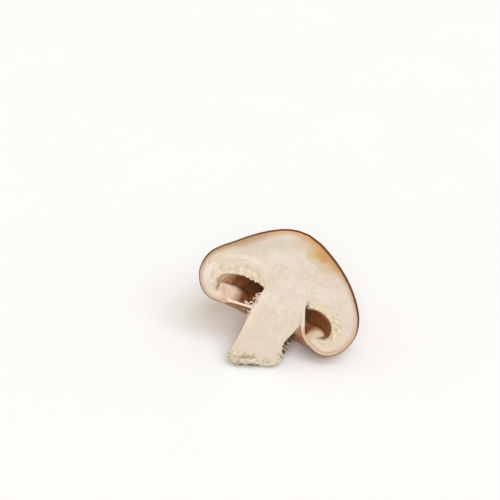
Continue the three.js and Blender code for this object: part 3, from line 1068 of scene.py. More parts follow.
@dataclass(frozen=True)
class HollowLining(Finish):
    """The wall of the hollow: peach at the knife's cut, brown further in, partly its own browning and
    partly painted shade, with painted light lifting its deepest parts.
    """

    name: str = "hollow_lining"
    roughness: float = 0.7
    subsurface: float = 0.1

    def dress(self, nodes: Nodes) -> None:
        """Darkens the peach with depth, along the roll on the left and straight back on the right, partly
        as painted shade, with painted highlights near the cut and painted light deep in.
        """
        x, y, _ = nodes.growth_parts()
        cloud = nodes.grain(0.7, 3.0)
        square = x * x + y * y
        left = nodes.ramp(x, 4.0, -4.0)
        right = 1.0 - left
        roll = (x + 13.8) * 1.05 + y * 0.1
        wall = y * 1.7 + (17.0 - square.math("SQRT", square)) * 0.12
        reach = roll * left + wall * right + (cloud - 0.5) * 0.8
        colour = nodes.coats(
            # Pale near the cut, brown deeper in: partly the wall's own browning, partly painted shade; the
            # pale start on the left roll is a painted highlight that offsets the roll's shade.
            nodes.mix(nodes.ramp(reach, 0.8, 4.0), Tint.FLOSS, Tint.HOLLOW_BROWN),
            (nodes.ramps((reach, 0.3, 1.6), (reach, 4.2, 1.8)) * 0.8, Tint.LOBE),
            # Chestnut as the left roll recedes: partly its own colour, partly painted shade.
            (nodes.ramp(reach, 1.7, 4.6) * left * 0.85, Tint.CHESTNUT),
            # Painted light: lifts the far left of the hollow, which lies in deep shade.
            (nodes.ramp(reach, 5.0, 6.8) * left, Tint.GLOW),
            # Painted highlight: pales the left wall beside the cut, over the shade of the rounded edge.
            (nodes.ramp(y, 1.2, 0.3) * left, Tint.RIND),
            # Painted shade: the right wall darker beside the cut, below the lobe's rounded edge.
            (nodes.ramp(y, 2.4, 0.6) * right * 0.7, Tint.RUSSET),
            # Painted light: lifts the right hollow's deep wall beside the stem, which lies in shade.
            (nodes.ramps((x, 14.0, 11.0), (y, 4.0, 8.0)) * right, Tint.BUFF),
        )
        nodes.wear(colour, nodes.grain(2.2, 3.0), 0.15, 0.7)


@dataclass(frozen=True)
class CapSkin(Finish):
    """Brown suede-like skin with fine fibrils running from the crown to the rim."""

    name: str = "cap_skin"
    roughness: float = 0.5
    coat: float = 0.08

    def dress(self, nodes: Nodes) -> None:
        """Lays mottling, fibrils, pale flecks, a paler rim and a darker crown."""
        turn, run = nodes.attribute("turn"), nodes.attribute("run")
        cloud, grain = nodes.grain(0.14, 4.0), nodes.grain(2.6, 3.0)
        fibrils = nodes.noise(nodes.vector(turn * 38.0, run * 0.32, 1.0), 1.0, 4.0, 0.5)
        flecks = nodes.noise(nodes.vector(turn * 24.0, run * 0.5, 7.0), 1.0, 3.0, 1.0)
        colour = nodes.coats(
            nodes.mix(nodes.ramp(cloud, 0.36, 0.64), Tint.SKIN_BROWN, Tint.SKIN_TAN),
            (nodes.ramp(fibrils, 0.5, 0.72) * 0.6, Tint.SKIN_FIBRIL),
            (nodes.ramp(flecks, 0.58, 0.72) * 0.45, Tint.SKIN_PALE),
            (nodes.ramp(run + (cloud - 0.5) * 12.0, 50.0, 64.0) * 0.8, Tint.SKIN_PALE),
            (nodes.ramp(run, 14.0, 0.0) * 0.4, Tint.SKIN_FIBRIL),
        )
        nodes.wear(colour, fibrils * 0.6 + grain * 0.4, 0.14, 0.8, 0.38 + grain * 0.3)


@dataclass(frozen=True)
class SkinEdge(Finish):
    """The skin's own thickness, dark where the knife went through it."""

    name: str = "skin_edge"
    roughness: float = 0.75
    specular: float = 0.15

    def dress(self, nodes: Nodes) -> None:
        """Goes from olive brown on the left to red brown on the right, pale below and tan behind."""
        x, y, z = nodes.growth_parts()
        level = z - x * 0.07
        pale = nodes.ramp(level + (nodes.grain(0.8, 2.0) - 0.5) * 4.0, 2.8, -1.4)
        colour = nodes.coats(
            nodes.mix(nodes.ramp(x, -22.0, -2.0), Tint.OLIVE_EDGE, Tint.BROWN_EDGE),
            (pale * 0.9, Tint.TAN_EDGE),
            (nodes.ramps((nodes.attribute("inner"), 0.4, 0.75), (level, 7.0, 1.0)), Tint.RIND),
            (nodes.ramp(y, 0.3, 0.9), Tint.VEIL),
        )
        nodes.wear(colour, nodes.grain(3.0, 2.0), 0.1, 0.5)


@dataclass(frozen=True)
class Bark(Finish):
    """The veil's and the stem's outside: pinkish tan with long fibres, earthy at the foot."""

    name: str = "stem_and_veil"
    roughness: float = 0.65
    subsurface: float = 0.08

    def dress(self, nodes: Nodes) -> None:
        """Lays fibres down the stem and over the veil, dirt on the foot, painted warm light on the right
        side, and painted shade in the corner under the veil.
        """
        x, y, z = nodes.growth_parts()
        turn, run = nodes.attribute("turn"), nodes.attribute("run")
        cloud = nodes.grain(0.3, 3.0)
        fibres = nodes.noise(nodes.vector(turn * 14.0, run * 0.22, 2.0), 1.0, 4.0, 0.4)
        corner = nodes.ramps((x, -14.0, -9.0), (x, 0.0, -4.0), (z, -8.5, -6.5), (y, 6.0, 2.0))
        dirt = nodes.ramp(z + (cloud - 0.5) * 6.0, -15.0, -19.0)
        specks = nodes.ramp(nodes.grain(1.4, 3.0), 0.6, 0.68)
        colour = nodes.coats(
            nodes.mix(nodes.ramp(z, -8.0, -2.5), Tint.STEM, Tint.VEIL),
            # Painted light: a warm glow over the shaded right side.
            (nodes.ramp(x, 4.0, 9.0) * 0.6, Tint.GLOW),
            (nodes.ramp(fibres, 0.45, 0.7) * 0.6, Tint.STEM_STREAK),
            (nodes.ramp(cloud, 0.55, 0.72) * 0.35, Tint.FOOT),
            # Painted shade: the corner under the veil beside the stem.
            (corner * 0.8, Tint.RUSSET),
            (dirt * 0.8, Tint.FOOT),
            (specks * (0.25 + dirt * 0.5), Tint.DIRT),
        )
        height = fibres * 0.7 + nodes.grain(2.4, 3.0) * 0.4
        nodes.wear(colour, height, 0.2, 0.8)


@dataclass(frozen=True)
class GillFlesh(Finish):
    """Gills: cream at the cut, brown further in, partly their own browning and partly painted shade."""

    name: str = "gill_flesh"
    roughness: float = 0.6
    subsurface: float = 0.12
    light_to: float = -1.4
    brown_from: float = 2.6

    def dress(self, nodes: Nodes) -> None:
        """Darkens the cream with depth, partly as painted shade, and tells lumps, creases and roots of the
        cut gills apart: painted highlights on the lumps, painted shade between them and in the creases.
        """
        x, y, _ = nodes.growth_parts()
        cloud = nodes.grain(1.3, 3.0)
        reach = y + (cloud - 0.5) * 0.8
        lump = nodes.attribute("lump")
        colour = nodes.coats(
            # Cream to tan to brown with depth: partly the gills' own browning, partly painted shade.
            nodes.mix(nodes.ramp(reach, self.light_to, self.brown_from), Tint.GILL_CREAM, Tint.GILL_TAN),
            (nodes.ramp(reach, self.brown_from - 0.9, self.brown_from + 2.0), Tint.GILL_BROWN),
            # Painted shade: an umber band a little behind the cut on the left.
            (nodes.ramps((reach, 1.9, 3.4), (y, 10.0, 6.0), (x, 2.0, -2.0)) * 0.6, Tint.UMBER),
            # Painted light: lifts the right hollow's deep gills beside the stem, which lie in shade.
            (nodes.ramps((x, 14.0, 11.0), (x, 2.0, 6.0), (y, 4.0, 8.0)) * 0.8, Tint.BUFF),
            (nodes.attribute("rooted"), Tint.IVORY),
            (nodes.ramp(cloud, 0.5, 0.72) * 0.3, Tint.GREYISH),
            # Painted highlight on the raised lumps, and painted shade between them.
            (nodes.ramp(lump, 0.55, 1.0) * 0.85, Tint.THREAD),
            (nodes.ramp(lump, 0.5, 0.0) * 0.5, Tint.OLIVE),
            # Painted shade in the crease near the free edge of the cut gills.
            (nodes.attribute("crease"), Tint.HUSK),
        )
        nodes.wear(colour, nodes.grain(3.5, 2.0), 0.08, 0.6)


@dataclass(frozen=True)
class ThreadFlesh(Finish):
    """White torn fibres and crumbs."""

    name: str = "torn_threads"
    roughness: float = 0.65
    subsurface: float = 0.4
    light: Tint = Tint.FLOSS
    dark: Tint = Tint.RIND

    def dress(self, nodes: Nodes) -> None:
        """Mottles between two tints."""
        cloud = nodes.grain(0.9, 3.0)
        colour = nodes.mix(nodes.ramp(cloud, 0.42, 0.62), self.light, self.dark)
        nodes.wear(colour, nodes.grain(5.0, 2.0), 0.06, 0.6)


@dataclass(frozen=True)
class CleftFlesh(Finish):
    """Cream at the top of the cleft, tan lower down where the groove deepens: partly the flesh's own tan,
    partly painted shade.
    """

    name: str = "cleft_flesh"
    roughness: float = 0.6
    subsurface: float = 0.2

    def dress(self, nodes: Nodes) -> None:
        """Darkens the cream downwards, partly as painted shade of the deepening groove."""
        _, _, z = nodes.growth_parts()
        cloud = nodes.grain(0.9, 3.0)
        fall = nodes.ramp(z + (cloud - 0.5) * 1.6, -0.6, -4.4)
        nodes.wear(nodes.mix(fall, Tint.OLIVE, Tint.CLEFT), cloud, 0.1, 0.6)


@dataclass(frozen=True)
class PaleFloor(Finish):
    """A white sweep."""

    name: str = "pale_floor"
    roughness: float = 0.8
    specular: float = 0.1
    cool: tuple = (0.945, 0.97, 0.985, 1.0)
    bright: tuple = (0.96, 0.985, 0.995, 1.0)

    def dress(self, nodes: Nodes) -> None:
        """Gives the floor a faint unevenness."""
        cloud = nodes.grain(0.02, 2.0)
        nodes.feed(nodes.shader.inputs["Base Color"], nodes.mix(cloud, self.cool, self.bright))


@dataclass(frozen=True)
class Tear:
    """A ragged tear through the veil, for the air and the spores."""

    direction: float
    radius: float
    height: float
    size: tuple
    slope: float

    def cutter(self, bench: Bench, seed: int) -> Piece:
        """A ragged lens that the flesh is cut with."""
        bench.clear()
        bpy.ops.mesh.primitive_uv_sphere_add(segments=40, ring_count=20, radius=0.5)
        lens = bpy.context.active_object
        points = bench.vertices(lens)
        points = points * (1 + 0.22 * rough(points, 4.0, seed * 5.3))[:, None] * np.array(self.size)
        tilt = np.array(Matrix.Rotation(math.radians(self.slope), 3, "Y"))
        turn = np.array(Matrix.Rotation(math.radians(self.direction), 3, "Z"))
        bench.mould(lens, (points @ tilt.T + np.array([self.radius, 0, self.height])) @ turn.T)
        return lens


@dataclass
class Flesh:
    """The flesh of cap, veil and stem, with its hollow, closed all round and cut flat in front."""

    bench: Bench
    sections: Sections
    rows: int = 150
    covered_step: float = 0.6
    bare_step: float = 0.3
    hollow_step: float = 0.45
    face_step: float = 0.25
    skin_cover: float = 0.24
    right_lobe: float = 1.3
    left_lobe: float = 1.5
    tears: tuple = (
        Tear(58, 10.4, 0.2, (2.6, 8.0, 7.0), 58),
        Tear(122, 9.2, -2.6, (3.0, 9.5, 7.0), 30),
    )
    outer_lines: Array = field(init=False)
    hollow_lines: Array = field(init=False)
    cut_hollows: tuple = field(init=False)

    def angles(self) -> Array:
        """The directions of the sheets' rows."""
        return np.linspace(0, math.pi, self.rows + 1)

    def outer(self) -> Piece:
        """The flesh's outside, a little under the skin where there is skin."""
        angles = self.angles()
        covered = Sections.even(OUTLINE, 0, SKIN_END, self.covered_step, False)
        bare = Sections.even(OUTLINE, SKIN_END, OUTLINE_END, self.bare_step, False)
        places = np.concatenate([covered, bare[1:]])
        controls = self.sections.controls(OUTLINE, angles)
        Sections.bulge(controls, angles, OUTLINE_BULGES)
        lines = spline(controls, places, False)
        normals = Sections.outward(lines)
        cover = self.skin_cover * (1 - smoothstep(places, SKIN_END - 0.5, SKIN_END))
        lines = lines - normals * cover[None, :, None]
        points = Sections.spread(lines, angles[:, None])
        stem = smoothstep(places, STEM_TOP, STEM_TOP + 0.8)
        veil = smoothstep(places, SKIN_END, SKIN_END + 0.6) * (1 - stem)
        foot = smoothstep(places, FOOT_START, FOOT_START + 1.2)
        turn, run = np.meshgrid(angles, Sections.travel(lines), indexing="ij")
        folds, fibres = grained(turn * 16, run * 0.12, 3.1), grained(turn * 9, run * 0.13, 7.7)
        broad, fine = rough(points, 0.35, 1.3), rough(points, 1.3, 5.9)
        relief = veil * (0.1 * folds + 0.05 * fine) + stem * (0.14 * fibres + 0.12 * broad + 0.05 * fine)
        relief = relief + foot * (0.42 * rough(points, 0.8, 2.2) + 0.34 * rough(points, 1.7, 4.9))
        fade = smoothstep(lines[..., 0], 0.2, 2.0)
        lines = lines + normals * (relief * fade)[..., None]
        Sections.gather(lines, 0)
        Sections.gather(lines, -1)
        self.outer_lines = lines
        piece = self.bench.sheet("flesh", Sections.spread(lines, angles[:, None]))
        self.bench.paint(piece, np.where(places < SKIN_END - 0.05, 0, 1))
        self.bench.lay(piece, turn=turn, run=run)
        return piece

    def hollow(self) -> Piece:
        """The wall of the hollow."""
        angles = self.angles()
        places = Sections.even(HOLLOW, 0, len(RIGHT_HOLLOW), self.hollow_step, True)
        controls = self.sections.controls(HOLLOW, angles)
        Sections.bulge(controls, angles, HOLLOW_BULGES)
        self.cut_hollows = (controls[0], controls[-1])
        lines = spline(controls, places, True)
        points = Sections.spread(lines, angles[:, None])
        relief = 0.07 * rough(points, 1.0, 4.4) + 0.05 * rough(points, 2.4, 9.1)
        lines = lines + Sections.outward(lines) * relief[..., None]
        lines[:, -1] = lines[:, 0]
        self.hollow_lines = lines
        points = Sections.spread(lines, angles[:, None])
        right, left = self.rounding(lines[0]), self.rounding(lines[-1] * MIRROR)
        soft = np.where(angles[:, None] < math.pi / 2, right[None], left[None])
        points[..., 1] = np.hypot(points[..., 1], soft)
        piece = self.bench.sheet("hollow", points)
        self.bench.paint(piece, np.full(len(places), 2))
        return piece

    def rounding(self, flat: Array) -> Array:
        """How far behind the cut the flesh lies near the rolled rim's soft lobes.

        Args:
            flat: points of the cut, x and z.

        Returns:
            One depth in millimetres for each point.
        """
        depth = np.zeros(len(flat))
        for line, sign, size in zip(self.cut_hollows, (1, -1), (self.right_lobe, self.left_lobe)):
            places = np.linspace(LOBE_START, LOBE_END, 60)
            lobe = curve(line, places, True) * [sign, 1]
            share = (places - LOBE_START) / (LOBE_END - LOBE_START)
            sizes = size * np.sin(share * math.pi) ** 0.6
            for middle, radius in zip(lobe, sizes):
                inside = np.clip(radius - np.linalg.norm(flat - middle, axis=1), 0, None)
                depth = np.maximum(depth, radius - np.sqrt(np.maximum(radius**2 - inside**2, 0)))
        return depth

    def borders(self) -> list:
        """The cut face's borders: the outside, then the right and left hollows, each a loop of x and z."""
        right, left = self.outer_lines[0], self.outer_lines[-1] * MIRROR
        outside = np.concatenate([right, left[-2:0:-1]])
        return [outside, self.hollow_lines[0, :-1], (self.hollow_lines[-1] * MIRROR)[:-1]]

    def face(self) -> Piece:
        """The flat face that the knife left, in fine triangles with a low relief."""
        borders = self.borders()
        low, high = borders[0].min(0), borders[0].max(0)
        step = self.face_step
        across = np.arange(low[0], high[0], step)
        up = np.arange(low[1], high[1], step * 0.866)
        grid = np.stack(np.meshgrid(across, up, indexing="ij"), -1)
        grid[:, ::2, 0] += step / 2
        draw = np.random.default_rng(5)
        inner = (grid + draw.uniform(-0.16, 0.16, grid.shape) * step).reshape(-1, 2)
        inner = inner[on_flesh(inner, borders)]
        inner = inner[nearest(inner, borders) > step * 0.45]
        points = np.concatenate([*borders, inner])
        edges, first = [], 0
        for border in borders:
            count = len(border)
            edges += [(first + i, first + (i + 1) % count) for i in range(count)]
            first += count
        made = geometry.delaunay_2d_cdt([Vector(p) for p in points], edges, [], 0, 1e-7)
        flat, faces = np.array([tuple(v) for v in made[0]]), np.array(made[2])
        kept = on_flesh(flat[faces].mean(1), borders)
        grain = grained(flat[:, 0] * 0.9 + flat[:, 1] * 0.35, flat[:, 1] * 0.35 - flat[:, 0] * 0.2, 2.7)
        relief = 0.06 * grain + 0.035 * rough(flat, 1.4, 6.1) + 0.05 * rough(flat, 0.22, 8.0)
        pits = smoothstep(rough(flat, 0.85, 11.3), 0.42, 0.62) * 0.1
        layers = grained(flat[:, 0] * 0.8, flat[:, 1] * 1.9 + 0.5 * rough(flat, 0.5, 3.0), 1.6)
        foot = foot_share(flat)
        ridge = nearest(flat, FOOT_RIDGES, closed=False)
        raised = smoothstep(ridge + 0.5 * rough(flat, 1.1, 9.7), 1.1, 0.2)
        crumbly = foot * (0.3 + 0.4 * layers + 0.3 * rough(flat, 1.7, 7.4)) - 0.55 * raised * foot
        shallow = smoothstep(nearest(flat, borders), 0, 0.6)
        depth = (relief + pits + crumbly) * shallow + self.rounding(flat)
        solid = np.stack([flat[:, 0], depth, flat[:, 1]], -1)
        return self.bench.mesh("cut_face", solid, faces[kept].tolist())

    def tell(self, piece: Piece) -> None:
        """Stores how far each point of the cut face lies from the skin and the gills, for its colours."""
        points = self.bench.growth_of(piece)
        flat = points[:, [0, 2]]
        cut = points[:, 1] < CUT_DEPTH
        outside = self.borders()[0]
        skin = outside[(outside[:, 1] > -7.5) & (np.abs(outside[:, 0]) > 13) | (outside[:, 1] > 10)]
        skin = skin[np.argsort(np.arctan2(skin[:, 0], skin[:, 1] - 4))]
        roofs = [curve(line, np.linspace(0, 9, 120), True) for line in HOLLOW]
        lobes = [curve(line, np.linspace(13, 18, 60), True) for line in self.cut_hollows]
        near_right = distance(flat[cut], lobes[0], closed=False) * 1.7
        near_left = distance(flat[cut], lobes[1] * MIRROR, closed=False)
        measures = {
            "rind": distance(flat[cut], skin, closed=False),
            "band": nearest(flat[cut], (roofs[0], roofs[1] * MIRROR), closed=False),
            "lobe": np.minimum(near_right, near_left),
            "seam": distance(flat[cut], np.array(CLEFT_SEAM), closed=False),
        }
        for name, near in measures.items():
            values = np.full(len(points), FAR)
            values[cut] = near
            Bench.store(piece, **{name: values})
        around = np.degrees(np.arctan2(flat[:, 0], flat[:, 1] - 4))
        for name, table in (("rind_width", RIND_WIDTH), ("rind_warmth", RIND_WARMTH), ("flush", FLUSH)):
            Bench.store(piece, **{name: np.interp(around, *zip(*table))})
        # The foot's relief on the cut, for painting its proud bits lighter and its sunk bits darker.
        Bench.store(piece, lump=0.62 - points[:, 1] * cut * 1.1 * foot_share(flat))

    def build(self, finishes: list) -> Piece:
        """Joins the outside, the hollow and the cut face, and tears the veil."""
        parts = [self.outer(), self.hollow(), self.face()]
        for part in parts:
            self.bench.cover(part, *finishes)
        piece = self.bench.join("flesh", parts)
        self.bench.weld(piece)
        for seed, tear in enumerate(self.tears):
            lens = tear.cutter(self.bench, seed + 1)
            self.bench.cover(lens, finishes[1])
            self.bench.modify(piece, "BOOLEAN", operation="DIFFERENCE", object=lens, solver="EXACT")
            bpy.data.objects.remove(lens)
        self.tell(piece)
        self.bench.finish(piece, 38)
        return piece


@dataclass
class Skin:
    """The cap's skin, from the crown round the rim to where the veil joins it."""

    bench: Bench
    sections: Sections
    rows: int = 210
    step: float = 0.5
    thickness: float = 0.58
    proud: float = 0.04

    def build(self, outside: Material, edge: Material) -> Piece:
        """Wraps a sheet over the cap and gives it its thickness."""
        angles = np.linspace(0, math.pi, self.rows + 1)
        places = Sections.even(OUTLINE, 0, SKIN_END, self.step, False)
        lines = spline(self.sections.controls(OUTLINE, angles), places, False)
        normals = Sections.outward(lines)
        turn, run = np.meshgrid(angles, Sections.travel(lines), indexing="ij")
        points = Sections.spread(lines, angles[:, None])
        fibrils = grained(turn * 22, run * 0.16, 1.9)
        relief = 0.05 * rough(points, 0.5, 0.7) + 0.03 * fibrils + 0.02 * rough(points, 1.6, 3.3)
        relief = relief * smoothstep(lines[..., 0], 0.3, 4)
        lines = lines + normals * relief[..., None]
        Sections.gather(lines, 0)
        points = Sections.spread(lines, angles[:, None])
        points[0, 1:, 1] -= self.proud
        points[-1, 1:, 1] -= self.proud
        piece = self.bench.sheet("cap_skin", points)
        self.bench.lay(piece, turn=turn, run=run)
        self.bench.weld(piece)
        self.bench.turn_out(piece, Vector((0, 0, 0.015)))
        self.bench.cover(piece, outside, edge)
        before = self.bench.growth_of(piece)
        self.bench.thicken(piece, self.thickness, material_offset=1, material_offset_rim=1)
        moved = np.linalg.norm(self.bench.growth_of(piece) - np.tile(before, (2, 1)), axis=1)
        self.bench.store(piece, inner=moved > self.thickness / 2)
        self.bench.finish(piece, 40)
        return piece


@dataclass
class Gills:
    """The blades under the cap, full, half and quarter length in turn, and their cut ends."""

    bench: Bench
    sections: Sections
    # The kinds of blade in turn: start along the hollow, share of the full depth, faces along and across.
    kinds: tuple = ((0.0, 1.0, 18, 3), (5.2, 0.62, 6, 2), (3.4, 0.85, 10, 3), (5.2, 0.62, 6, 2))
    spacing: float = 2.5  # degrees from one full blade to the next
    first: float = 1.8  # the first blade's direction in degrees
    spare: float = 3.0  # degrees left without blades
    thickness: float = 0.24
    sunk: float = 0.35  # how far a blade's root goes into the flesh
    span: float = 9.0  # where blades end, counted along the hollow's points
    end_faces: tuple = (250, 30)  # of the gills that were cut, along and across
    end_sunk: float = 0.9
    end_thickness: float = 0.55
    behind_cut: float = 0.14  # how far behind the knife's plane their edges lie
    proud: float = 0.24  # how far they stand out from there
    ridge_spacing: float = 1.8

    def lines(self, angle: float, start: float, along: int) -> tuple:
        """A blade's root and free edge in its section.

        Args:
            angle: its direction in radians.
            start: where it begins, counted along the hollow's points.
            along: points along it.

        Returns:
            The root and the free edge, each along + 1 points of distance and height.
        """
        places = np.linspace(start, self.span, along + 1)
        angles = np.array([angle])
        root = spline(self.sections.controls(HOLLOW, angles), places, True)
        root = root + Sections.outward(root) * self.sunk
        controls = self.sections.controls(GILL_EDGE, angles)
        Sections.bulge(controls, angles, GILL_BULGES)
        edge = spline(controls, places, False)
        return root[0], edge[0]

    def blade(self, angle: float, kind: tuple, seed: float) -> Piece:
        """One blade with its thickness.

        Args:
            angle: its direction in radians.
            kind: its start along the hollow, share of the full depth, and faces along and across.
            seed: moves its waves.

        Returns:
            The blade.
        """
        start, reach, along, across = kind
        root, edge = self.lines(angle, start, along)
        depth = reach * np.minimum(1, np.linspace(0 if start else 1, 4, along + 1) + 0.25)
        share = np.linspace(0, 1, across + 1)[:, None] * depth[None, :]
        flat = root[None] * (1 - share[..., None]) + edge[None] * share[..., None]
        waves = grained(np.broadcast_to(np.linspace(0, 5, along + 1), share.shape), share * 1.5, seed)
        lean = (0.1 + 0.35 * share) * waves / np.maximum(flat[..., 0], 5)
        points = Sections.spread(flat, angle + lean)
        points[..., 1] = np.maximum(points[..., 1], 0.15)
        piece = self.bench.sheet("blade", points)
        self.bench.thicken(piece, self.thickness, offset=0)
        return piece

    def build(self, finish: Material) -> Piece:
        """All the blades as one piece."""
        quarter = self.spacing / 4
        blades = []
        for place in range(int((180 - self.spare) / quarter)):
            angle = math.radians(self.first + place * quarter)
            blades.append(self.blade(angle, self.kinds[place % 4], place * 3.7))
        piece = self.bench.join("gills", blades)
        level = np.zeros(len(piece.data.vertices))
        self.bench.store(piece, lump=level + 0.5, rooted=level, crease=level)
        self.bench.finish(piece, 50, finish)
        return piece

    def end(self, name: str, left: bool, finish: Material) -> Piece:
        """The gills that the knife went through, at one end of the cut.

        Args:
            name: the piece's name.
            left: whether it is the left end's.
            finish: its material.

        Returns:
            The piece.
        """
        along, across = self.end_faces
        places = np.linspace(0, GILL_ENDS, along + 1)
        hollow, edge = HOLLOW[left], GILL_EDGE[left]
        root = spline(np.array([hollow], float), places, True)
        root = (root + Sections.outward(root) * self.end_sunk)[0]
        free = curve(edge, places, False)
        share = np.linspace(0, 1, across + 1)[:, None]
        travel = Sections.travel(free[None])
        teeth = 0.3 * grained(travel * 1.1, travel * 0, 2.0 + left)
        teeth = teeth + 0.3 * grained(travel * 2.6, travel * 0, 6.0 + left)
        teeth = teeth * (1.2 if left else 0.8) * (1 - smoothstep(places, 2.6, 5.0) * 0.8)
        span = np.linalg.norm(free - root, axis=1)
        share = share * (1 + (teeth / np.maximum(span, 0.5)))[None] * (share > 0.9) + share * (share <= 0.9)
        flat = root[None] * (1 - share[..., None]) + free[None] * share[..., None]
        depth = share * span[None]
        run = np.broadcast_to(travel, depth.shape)
        if left:
            relief = 0.34 * grained(run * 0.75, depth * 0.75, 1.1)
            relief = relief + 0.14 * grained(run * 1.7, depth * 1.7, 4.1)
        else:
            slant = run + depth * 0.75 + 0.4 * grained(run * 0.3, depth * 0.3, 8.8)
            comb = smoothstep(places, 3.4, 5.2) * (1 - smoothstep(places, 7.6, 8.6))
            uneven = 0.9 + 0.9 * grained(run * 0.5, depth * 0.6, 3.5)
            waves = 0.2 * np.sin(slant * 2 * math.pi / self.ridge_spacing)
            relief = waves * comb[None] * uneven * np.sin(share * math.pi * 0.9)
            relief = relief + 0.22 * grained(run * 0.9, depth * 0.9, 5.5)
        ends = smoothstep(places, 0, 0.5) * (1 - smoothstep(places, GILL_ENDS - 0.4, GILL_ENDS))
        rise = smoothstep(share, 0.05, 0.3) * ends[None]
        front = self.behind_cut - rise * (self.proud + relief)
        points = np.stack([(-1 if left else 1) * flat[..., 0], front, flat[..., 1]], -1)
        piece = self.bench.sheet(name, points)
        self.bench.lay(
            piece,
            # The relief, for painting the lumps lighter and the hollows between them darker.
            lump=0.5 + relief * rise * 2.0,
            rooted=0.8 * (1 - smoothstep(share, 0.12, 0.42)) * np.ones_like(rise),
            # Where the painted crease shade lies, near the free edge.
            crease=0.85 * smoothstep(depth - span[None], -1.0, -0.3) * smoothstep(places, 6.4, 7.6)[None],
        )
        self.bench.turn_out(piece, self.bench.behind(6.0))
        self.bench.thicken(piece, self.end_thickness)
        self.bench.finish(piece, 60, finish)
        return piece


@dataclass
class Cleft:
    """The flesh that closes the top of the cleft between the stem and the veil."""

    bench: Bench
    down: int = 40
    across: int = 16
    top: float = -0.8
    height: float = 4.4
    thickness: float = 0.3

    def build(self, finish: Material) -> Piece:
        """A groove that deepens downwards, and turns in at its foot."""
        fall = np.linspace(0, 1, self.down + 1)[:, None]
        side = np.linspace(0, 1, self.across + 1)[None, :]
        up = self.top - self.height * fall
        stem, veil = (np.array(line, float) for line in (CLEFT_STEM, CLEFT_VEIL))
        near = np.interp(up, stem[::-1, 1], stem[::-1, 0]) - 0.3
        far = np.interp(up, veil[::-1, 1], veil[::-1, 0]) + 0.3
        x = near + side * (far - near)
        back = 0.1 + 1.1 * fall + 1.3 * fall**2 + 0.7 * fall * np.sin(side * math.pi)
        back = back + 4.0 * smoothstep(fall, 0.8, 1.0) ** 2
        points = np.stack([x, back + 0 * x, up + 0 * x], -1)
        points[..., 1] += 0.1 * rough(points, 1.2, 3.9) * fall
        piece = self.bench.sheet("cleft_flesh", points)
        self.bench.turn_out(piece, self.bench.behind(14.0))
        self.bench.thicken(piece, self.thickness)
        self.bench.finish(piece, 60, finish)
        return piece


@dataclass(frozen=True)
class Fringe:
    """A row of curly threads: how many, and the ranges that each one's numbers are drawn from.

    A thread's place is its height, and it starts at the distance across, which counts from the stem's right
    edge if it is on the edge. Where a level is given, the place is its distance across instead.
    """

    count: int
    place: tuple
    run: tuple
    depth: tuple
    radius: tuple
    curl: tuple
    across: float = 0.0
    level: float | None = None
    on_edge: bool = False
    lengths: tuple = (1.0, 1.0)

    def start(self, place: float, depth: float) -> tuple:
        """Where a thread starts, in growth coordinates."""
        if self.level is not None:
            return place, depth, self.level
        return (stem_edge(place) if self.on_edge else 0.0) + self.across, depth, place

    def length(self, place: float) -> float:
        """How much further a thread runs to the right: more in the middle of the stem than elsewhere."""
        return self.lengths[0] if -11.0 < place < -6.0 else self.lengths[1]


